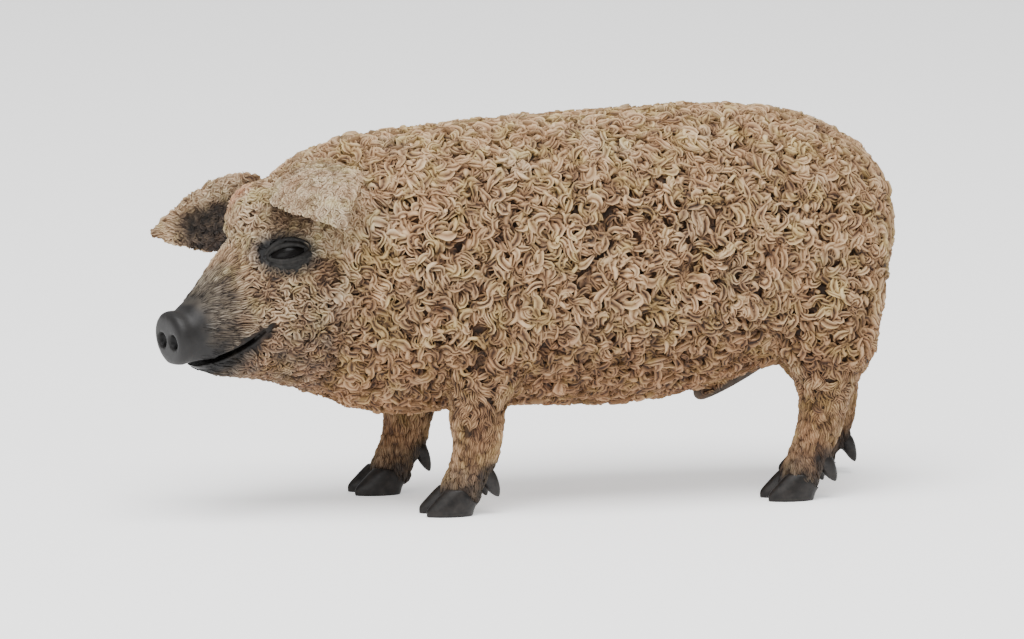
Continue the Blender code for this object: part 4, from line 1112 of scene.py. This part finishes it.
def add_paint(obj, points, crest):
    """Writes the crest value and the shares of the colours on an object's vertices. The dry brush is paler on
    the ears and the brow and softer on the legs, and the crest is a little darker on the legs. Painted light
    makes it paler towards the top of the back, and painted shade darkens it low on the body, in the hollows
    of the ears and on the head under the near ear, where the ear's shadow is painted."""
    ahead, _ = ahead_side(points)
    brow = 0.6 * ease(ahead, 0.0, 5.0) * ease(points[:, 2], 39.0, 45.0)
    pale = np.maximum(1.4 * near_ear(points, "ear_left"), near_ear(points, "ear_right"))
    # Painted light: the crest is paler towards the top of the back, as if lit from above.
    pale = np.maximum(pale, np.maximum(brow, 0.5 * ease(points[:, 2], 44.0, 58.0)))
    leg = on_leg(points)
    soft = 0.35 * leg * ease(-points[:, 2], -20.0, -8.0)
    # Painted shade: the crest darkens low on the body, below about 30 mm height; it is also a little darker
    # on the legs.
    crest = (crest + (BARE_CREST - crest) * soft) * (1 - 0.1 * leg - 0.06 * ease(-points[:, 2], -30.0, -20.0))
    # Painted shade: darker in the hollows of the ears, and on the head under the near ear, where the ear's
    # shadow is painted.
    crest = (crest + 0.2 * pale) * (1 - 0.75 * painted_ear_hollow_shade(points)) * (1 - 0.5 * painted_ear_shadow(points))
    for name, values in zip(PAINT_VALUES, (crest, *paint_zones(points))):
        layer = obj.data.attributes.new(name, "FLOAT", "POINT")
        layer.data.foreach_set("value", np.ascontiguousarray(values, np.float32).ravel())


# Materials


# The paint's colours up the ramp from the gaps of the coat to its crests.
TAN = (
    (0.04, (0.016, 0.008, 0.004)),
    (0.22, (0.075, 0.038, 0.019)),
    (0.4, (0.205, 0.120, 0.060)),
    (0.65, (0.355, 0.232, 0.126)),
    (1.0, (0.52, 0.375, 0.225)),
)
GREY = ((0.1, (0.008, 0.007, 0.006)), (0.5, (0.065, 0.056, 0.046)), (1.0, (0.24, 0.212, 0.170)))
CHARCOAL = ((0.1, (0.004, 0.0037, 0.0036)), (1.0, (0.024, 0.0226, 0.0222)))
# What the tan is multiplied by where each tint is full, and by patches over the whole coat.
TINTS = (("straw", (0.98, 1.09, 1.24)), ("rust", (0.74, 0.62, 0.56)), ("pink", (1.15, 0.72, 0.66)))
PATCHES = ((0.34, (1.03, 0.97, 0.96)), (0.5, (1.0, 1.0, 1.0)), (0.66, (0.98, 1.03, 0.84)))
GRAIN_DEPTH = 0.05
COAT_GLOSS = 0.22
# Plain paints: dark colour, light colour, size of the patches, roughness, gloss, strength of the grain.
HOOF_PAINT = ((0.005, 0.0042, 0.0038), (0.022, 0.0185, 0.0165), 1.2, 0.4, 0.25, 0.3)
EYE_PAINT = ((0.004, 0.0035, 0.003), (0.006, 0.005, 0.005), 1.5, 0.22, 0.1, 0.0)
LID_PAINT = ((0.006, 0.0055, 0.005), (0.024, 0.022, 0.020), 0.8, 0.55, 0.2, 0.3)


def new_group(name, inputs, outputs):
    """A shader node group with named float or colour sockets, and its first and last node."""
    group = bpy.data.node_groups.new(name, "ShaderNodeTree")
    for label, kind, value in inputs:
        socket = group.interface.new_socket(label, in_out="INPUT", socket_type=kind)
        socket.default_value = value
    for label, kind in outputs:
        group.interface.new_socket(label, in_out="OUTPUT", socket_type=kind)
    return group, group.nodes.new("NodeGroupInput"), group.nodes.new("NodeGroupOutput")


def mix_colours(nodes, links, share, first, second, blend="MIX"):
    """A mix of two colours or sockets by a share, and the socket of its result."""
    node = nodes.new("ShaderNodeMix")
    node.data_type = "RGBA"
    node.blend_type = blend
    for socket, value in ((node.inputs[0], share), (node.inputs[6], first), (node.inputs[7], second)):
        if isinstance(value, bpy.types.NodeSocket):
            links.new(value, socket)
        elif isinstance(value, tuple):
            socket.default_value = (*value, 1.0)
        else:
            socket.default_value = value
    return node.outputs[2]


def value_ramp(nodes, links, value, stops):
    """A ramp from a value through coloured stops."""
    node = nodes.new("ShaderNodeValToRGB")
    ramp = node.color_ramp
    ramp.elements[0].position, ramp.elements[0].color = stops[0][0], (*stops[0][1], 1.0)
    ramp.elements[1].position, ramp.elements[1].color = stops[-1][0], (*stops[-1][1], 1.0)
    for place, colour in stops[1:-1]:
        ramp.elements.new(place).color = (*colour, 1.0)
    links.new(value, node.inputs[0])
    return node.outputs[0]


def maths(nodes, links, operation, first, second=0.0):
    """A sum on two values or sockets."""
    node = nodes.new("ShaderNodeMath")
    node.operation = operation
    for socket, value in ((node.inputs[0], first), (node.inputs[1], second)):
        if isinstance(value, bpy.types.NodeSocket):
            links.new(value, socket)
        else:
            socket.default_value = value
    return node.outputs[0]


def noise(nodes, links, size, detail, roughness=0.55):
    """Noise on the object's own coordinates, with grains of a size in millimetres."""
    place = nodes.new("ShaderNodeTexCoord")
    node = nodes.new("ShaderNodeTexNoise")
    node.inputs["Scale"].default_value = 1000.0 / size
    node.inputs["Detail"].default_value = detail
    node.inputs["Roughness"].default_value = roughness
    links.new(place.outputs["Object"], node.inputs["Vector"])
    return node.outputs["Fac"]


def dry_brushed_paint():
    """Paint of the coat: dark wash in the grooves, tan on the flanks and a pale dry brush on the crests,
    tinted by shares of straw, rust and pink and covered by grey and charcoal."""
    group, start, end = new_group(
        "dry_brushed_paint",
        [(name, "NodeSocketFloat", 0.0) for name in PAINT_VALUES],
        [("Colour", "NodeSocketColor"), ("Roughness", "NodeSocketFloat"), ("Height", "NodeSocketFloat")],
    )
    nodes, links = group.nodes, group.links
    mottle = maths(nodes, links, "SUBTRACT", noise(nodes, links, 1.6, 3.0), 0.5)
    grain = noise(nodes, links, 0.22, 2.0)
    crest = maths(nodes, links, "ADD", start.outputs["crest"], maths(nodes, links, "MULTIPLY", mottle, 0.7))
    colour = value_ramp(nodes, links, crest, TAN)
    for label, tint in TINTS:
        tinted = mix_colours(nodes, links, 1.0, colour, tint, "MULTIPLY")
        colour = mix_colours(nodes, links, start.outputs[label], colour, tinted)
    patches = value_ramp(nodes, links, noise(nodes, links, 3.5, 2.0), PATCHES)
    colour = mix_colours(nodes, links, 1.0, colour, patches, "MULTIPLY")
    for label, stops in (("grey", GREY), ("charcoal", CHARCOAL)):
        cover = value_ramp(nodes, links, crest, stops)
        colour = mix_colours(nodes, links, start.outputs[label], colour, cover)
    links.new(colour, end.inputs["Colour"])
    rough = maths(nodes, links, "MULTIPLY", start.outputs["charcoal"], -0.2)
    rough = maths(nodes, links, "ADD", rough, 0.68)
    rough = maths(nodes, links, "ADD", rough, maths(nodes, links, "MULTIPLY", mottle, 0.2))
    links.new(rough, end.inputs["Roughness"])
    links.new(grain, end.inputs["Height"])
    return group


def new_material(name, gloss):
    """A new material with a gloss, its nodes, links and shader."""
    material = bpy.data.materials.new(name)
    material.use_nodes = True
    shader = material.node_tree.nodes["Principled BSDF"]
    shader.inputs["Specular IOR Level"].default_value = gloss
    return material, material.node_tree.nodes, material.node_tree.links, shader


def add_grain(nodes, links, shader, height, strength):
    """Gives a shader a fine relief from a height."""
    relief = nodes.new("ShaderNodeBump")
    relief.inputs["Strength"].default_value = strength
    relief.inputs["Distance"].default_value = GRAIN_DEPTH * MM
    links.new(height, relief.inputs["Height"])
    links.new(relief.outputs["Normal"], shader.inputs["Normal"])


def painted(name, group, grain):
    """A material of the coat's paint, reading its values from the mesh's own attributes."""
    material, nodes, links, shader = new_material(name, COAT_GLOSS)
    paint = nodes.new("ShaderNodeGroup")
    paint.node_tree = group
    for label in PAINT_VALUES:
        reader = nodes.new("ShaderNodeAttribute")
        reader.attribute_name = label
        links.new(reader.outputs["Fac"], paint.inputs[label])
    links.new(paint.outputs["Colour"], shader.inputs["Base Color"])
    links.new(paint.outputs["Roughness"], shader.inputs["Roughness"])
    add_grain(nodes, links, shader, paint.outputs["Height"], grain)
    return material


def plain_paint(name, dark, light, size, roughness, gloss, grain):
    """A satin paint that varies softly between two colours, with a fine grain."""
    material, nodes, links, shader = new_material(name, gloss)
    colour = value_ramp(nodes, links, noise(nodes, links, size, 4.0), ((0.3, dark), (0.72, light)))
    links.new(colour, shader.inputs["Base Color"])
    shader.inputs["Roughness"].default_value = roughness
    add_grain(nodes, links, shader, noise(nodes, links, 0.3, 2.0), grain)
    return material


# Pieces


def finish_piece(obj, material, nodes=()):
    """Puts a piece on the figure's body, with its paint and the solids that it stands for."""
    obj.data.materials.clear()
    obj.data.materials.append(material)
    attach(obj, "root")
    if nodes:
        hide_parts(*nodes)


def skin_paint(obj):
    """Paint of a skin: dark in the gaps of the coat and in the nostrils, and full where it is bare."""
    points = points_of(obj.data)
    ahead, _ = ahead_side(points)
    bare = ease(ahead, 18.0, 22.0)
    face = ease(ahead, -2.0, 6.0)
    place, turn = snout_axes()
    local = (points - place) @ turn
    across = (np.abs(local[:, 0]) - NOSTRIL_SIDE) / NOSTRIL_RADII[0]
    up = (local[:, 1] - NOSTRIL_UP) / NOSTRIL_RADII[1]
    sunk = (1 - ease(np.hypot(across, up), 0.75, 1.05)) * (local[:, 2] > 0)
    bare = np.maximum(bare, 0.6 * sheath_edge(points))
    add_paint(obj, points, (0.1 + 0.04 * face) * (1 - bare) + BARE_CREST * bare * (1 - sunk))


def claw_shape(centre_x, centre_y):
    """A claw: rounded sections up from a flat sole, each drawn to a point in front. Its top slopes down to
    the heel, where the coat comes over it."""
    angle = np.linspace(0, 2 * math.pi, 40, endpoint=False)
    # The lowest section stands twice, which keeps the edge of the sole sharp as seen from the sides.
    rows = np.vstack((CLAW[:1], smooth_rows(CLAW, 4)))
    height, back, long, wide = (column[:, None] for column in rows.T)
    taper = 1 - 0.35 * np.clip(-np.cos(angle), 0, 1) ** 2
    x = centre_x + back + np.cos(angle) * long * (1 - 0.14 * np.clip(np.cos(angle), 0, 1))
    y = centre_y + np.sin(angle) * wide * taper
    slope = 1 - CLAW_SLOPE * ease(np.cos(angle), -0.3, 1.0) * height / CLAW[-1][0]
    return tube(np.stack((x, y, height * slope), -1))


def dewclaw_shape(root, tip, radius):
    """A dewclaw: a blunt cone from its sunk root to its tip."""
    share, size = np.array(DEWCLAW_TAPER).T
    return rod_shape(root + (tip - root) * share[:, None], radius * size, 20)


def add_feet(material):
    """Claws and dewclaws of all four feet, each a piece of its own."""
    for name, (_, side, _, hoof, _) in LEGS.items():
        for part, way in (("outer", 1), ("inner", -1)):
            claw = claw_shape(hoof, side * (FOOT_OUT + way * CLAW_SIDE))
            dewclaw = dewclaw_shape(*dewclaw_ends(name, part))
            for node, shape in ((f"{name}_claw_{part}", claw), (f"{name}_dewclaw_{part}", dewclaw)):
                finish_piece(mesh_object(f"painted_{node}", *shape), material, [node])


def add_eyes(skin, gloss, lid_paint):
    """Eyeballs with lids and folds round them."""
    for name, middle in EYES.items():
        side = -1 if name == "eye_left" else 1
        place, out = (part[0] for part in snap(middle[None], skin))
        forward = across_surface(HEAD_WAY, out)
        up = np.cross(out, forward) * -side
        turn = np.stack((forward, up, out), 1)
        eye = ball(place - out * EYE_SINK, EYE_RADII, turn, 40)
        finish_piece(mesh_object(f"glossy_{name}", *eye), gloss, [name])
        t = np.linspace(-1, 1, 25)
        shapes = []
        for half, bow, base, lift, thick in LIDS:
            u = half * t - LIDS_BACK
            v = base * t + bow * (1 - t**2) ** 0.75
            route, _ = snap(place + np.stack((u, v, 0 * t), -1) @ turn.T, skin)
            route = route + out * (lift * np.sqrt(1 - t**2))[:, None]
            radii = thick * (0.3 + 0.7 * np.sqrt(1 - t**2))
            shapes.append(rod_shape(route, radii, 12))
        lids = fused(mesh_object(f"lids_{name}", *together(shapes)), *LID_SKIN)
        finish_piece(lids, lid_paint)


def over_claws(points):
    """Whether each place lies above the sloping tops of the claws."""
    above = points[:, 2] > 6.0
    for _, side, _, hoof, _ in LEGS.values():
        back = (points[:, 0] - hoof) / CLAW_LENGTH
        near = (np.abs(back) < 2) & (points[:, 1] * side > 0)
        top = CLAW[-1][0] * (1 - CLAW_SLOPE * ease(back, -0.3, 1.0))
        above |= near & (points[:, 2] > top - 0.3)
    return above


def coat_piece(roots):
    """Number of the coat's piece that each root belongs to: ears, legs, muzzle, head, then the trunk's."""
    ahead, _ = ahead_side(roots)
    ear = np.maximum(near_ear(roots, "ear_left"), near_ear(roots, "ear_right")) > 0.5
    trunk = len(REGIONS) + np.searchsorted([end for _, end in TRUNK_PIECES[:-1]], roots[:, 0], side="right")
    return np.select([ear, on_leg(roots) > 0.5, ahead > MUZZLE_FROM, ahead > FACE_FROM], [0, 1, 2, 3], trunk)


def add_coat(figure, head, material):
    """The coat: swirls, fans and plain locks over a filling on the trunk, fine locks on the head and the
    ears, and combed ones on the muzzle and the legs."""
    draw = np.random.default_rng(7)
    grown = []
    for target, of_head in ((figure, False), (head, True)):
        points = points_of(target.data)
        points = points[draw.permutation(len(points))[:ROOT_CHOICES]]
        ahead, _ = ahead_side(points)
        points = points[((ahead > SEAM_AHEAD) == of_head) & (ahead < LAST_ROOT)]
        points = points[(eye_oval(points) > ROOT_OFF_EYE) & (mouth_line(points) > ROOT_OFF_MOUTH)]
        points = points[over_claws(points) & (sheath_edge(points) < 0.5)]
        _, scale = coat_at(points)
        coarse = scale > COARSE_SCALE
        combed = ~coarse & ((on_leg(points) > 0.5) | (ahead_side(points)[0] > COMBED_FROM))
        grounds = {"coarse": coarse, "fine": ~coarse & ~combed, "combed": combed}
        for kind, room, spreading, ground in LAYERS:
            here = grounds[ground]
            if here.any():
                picked = points[here][spread_out(points[here], room * scale[here], draw)]
                grown.append(locks(*snap(picked, target), kind, spreading, target, draw))
    pieces = [coat_piece(group[4]) for group in grown]
    for number, name in enumerate((*REGIONS, *(name for name, _ in TRUNK_PIECES))):
        shapes = []
        for group, piece in zip(grown, pieces):
            mine = piece == number
            if mine.any():
                shapes.append(lock_shapes(*(part[mine] for part in group)))
        finish_piece(coat_object(f"coat_{name}", shapes), material)


# Studio


FLOOR_REACH = 4000.0
FLOOR_SHADES = ((0.3, (0.93, 0.93, 0.93)), (0.7, (0.95, 0.95, 0.95)))
FLOOR_GLOW = 0.6
ROOM_LIGHT = 0.55
WHITE = (1.0, 1.0, 1.0, 1.0)
# Soft lights: name, place, size and power. Places and sizes are metres, and all point at the pig's middle.
LIGHTS = (
    ("soft_top", (-0.1, -0.35, 1.1), 0.9, 25.0),
    ("soft_front", (-0.9, -0.9, 0.55), 0.7, 5.0),
)
LIT_PLACE = (0.0, 0.0, 0.028)
# The camera's turn and rise round the place it looks at, and its distance from there.
CAMERA_TURN = math.radians(-16.5)
CAMERA_RISE = math.radians(7.7)
CAMERA_DISTANCE = 1300.0
CAMERA_AIM = (-1.88, 0.0, 28.05)
SENSOR_WIDTH = 36.0
PHOTO_WIDTH = 1024.0
PHOTO_SCALE = 6.466  # pixels of the photograph's frame in a millimetre at the place that the camera looks at


def add_stage():
    """A pale floor, soft studio light and the camera."""
    corners = np.array(((-1, -1, 0), (1, -1, 0), (1, 1, 0), (-1, 1, 0)))
    floor = mesh_object("studio_floor", corners * FLOOR_REACH, [(0, 1, 2, 3)])
    material, nodes, links, shader = new_material("pale_floor", 0.5)
    shade = value_ramp(nodes, links, noise(nodes, links, 900.0, 2.0), FLOOR_SHADES)
    links.new(shade, shader.inputs["Base Color"])
    shader.inputs["Roughness"].default_value = 0.8
    shader.inputs["Emission Color"].default_value = WHITE
    shader.inputs["Emission Strength"].default_value = FLOOR_GLOW
    floor.data.materials.append(material)
    world = bpy.data.worlds.new("studio")
    world.use_nodes = True
    background = world.node_tree.nodes["Background"]
    background.inputs["Color"].default_value = WHITE
    background.inputs["Strength"].default_value = ROOM_LIGHT
    bpy.context.scene.world = world
    for name, place, size, power in LIGHTS:
        light = bpy.data.lights.new(name, "AREA")
        light.size = size
        light.energy = power
        lamp = bpy.data.objects.new(name, light)
        point_at(lamp, np.array(place), np.array(LIT_PLACE))
        bpy.context.scene.collection.objects.link(lamp)
    centre = np.array(CAMERA_AIM) + SHIFT
    level = math.cos(CAMERA_RISE)
    way = np.array((math.sin(CAMERA_TURN) * level, -math.cos(CAMERA_TURN) * level, math.sin(CAMERA_RISE)))
    camera = bpy.data.cameras.new("studio_camera")
    camera.lens = PHOTO_SCALE * CAMERA_DISTANCE * SENSOR_WIDTH / PHOTO_WIDTH
    camera.clip_start = 0.1
    camera.clip_end = 100.0
    eye = bpy.data.objects.new("studio_camera", camera)
    point_at(eye, (centre + way * CAMERA_DISTANCE) * MM, centre * MM)
    bpy.context.scene.collection.objects.link(eye)
    bpy.context.scene.camera = eye


def point_at(obj, place, aim):
    """Places an object and turns its -Z axis to a point, with +Y up."""
    back = unit(place - aim)
    right = unit(np.cross((0.0, 0.0, 1.0), back))
    turn = np.eye(4)
    turn[:3, :3] = np.stack((right, np.cross(back, right), back), 1)
    turn[:3, 3] = place
    obj.matrix_world = Matrix(turn.tolist())


def main():
    """Builds every piece and the stage."""
    paint = dry_brushed_paint()
    coat_paint = painted("painted_coat", paint, 0.25)
    skin_material = painted("painted_skin", paint, 0.4)
    hoof_paint = plain_paint("painted_hoof", *HOOF_PAINT)
    eye_gloss = plain_paint("glossy_eye", *EYE_PAINT)
    lid_paint = plain_paint("painted_lids", *LID_PAINT)

    head = head_skin_shape()
    figure = fused(mesh_object("figure", *together([*flesh_shapes(), tail_shape()])), *BODY_SKIN)
    seam = head_place(SEAM_AHEAD, 0, 35)
    head_shown = keep_side(copied(head, "painted_head_skin"), seam, HEAD_WAY)
    body_shown = keep_side(copied(figure, "painted_body_skin"), seam, -HEAD_WAY)
    for piece in (head_shown, body_shown):
        skin_paint(piece)
    add_coat(figure, head, coat_paint)
    add_eyes(head, eye_gloss, lid_paint)
    add_feet(hoof_paint)
    for helper in (figure, head):
        bpy.data.objects.remove(helper)
    for piece, nodes in (
        (head_shown, ("head", "lower_jaw", "snout_disc", *EARS)),
        (body_shown, ("neck", "shoulders", "barrel", "hindquarters", "tail", *LEGS)),
    ):
        finish_piece(piece, skin_material, nodes)
    add_stage()


main()
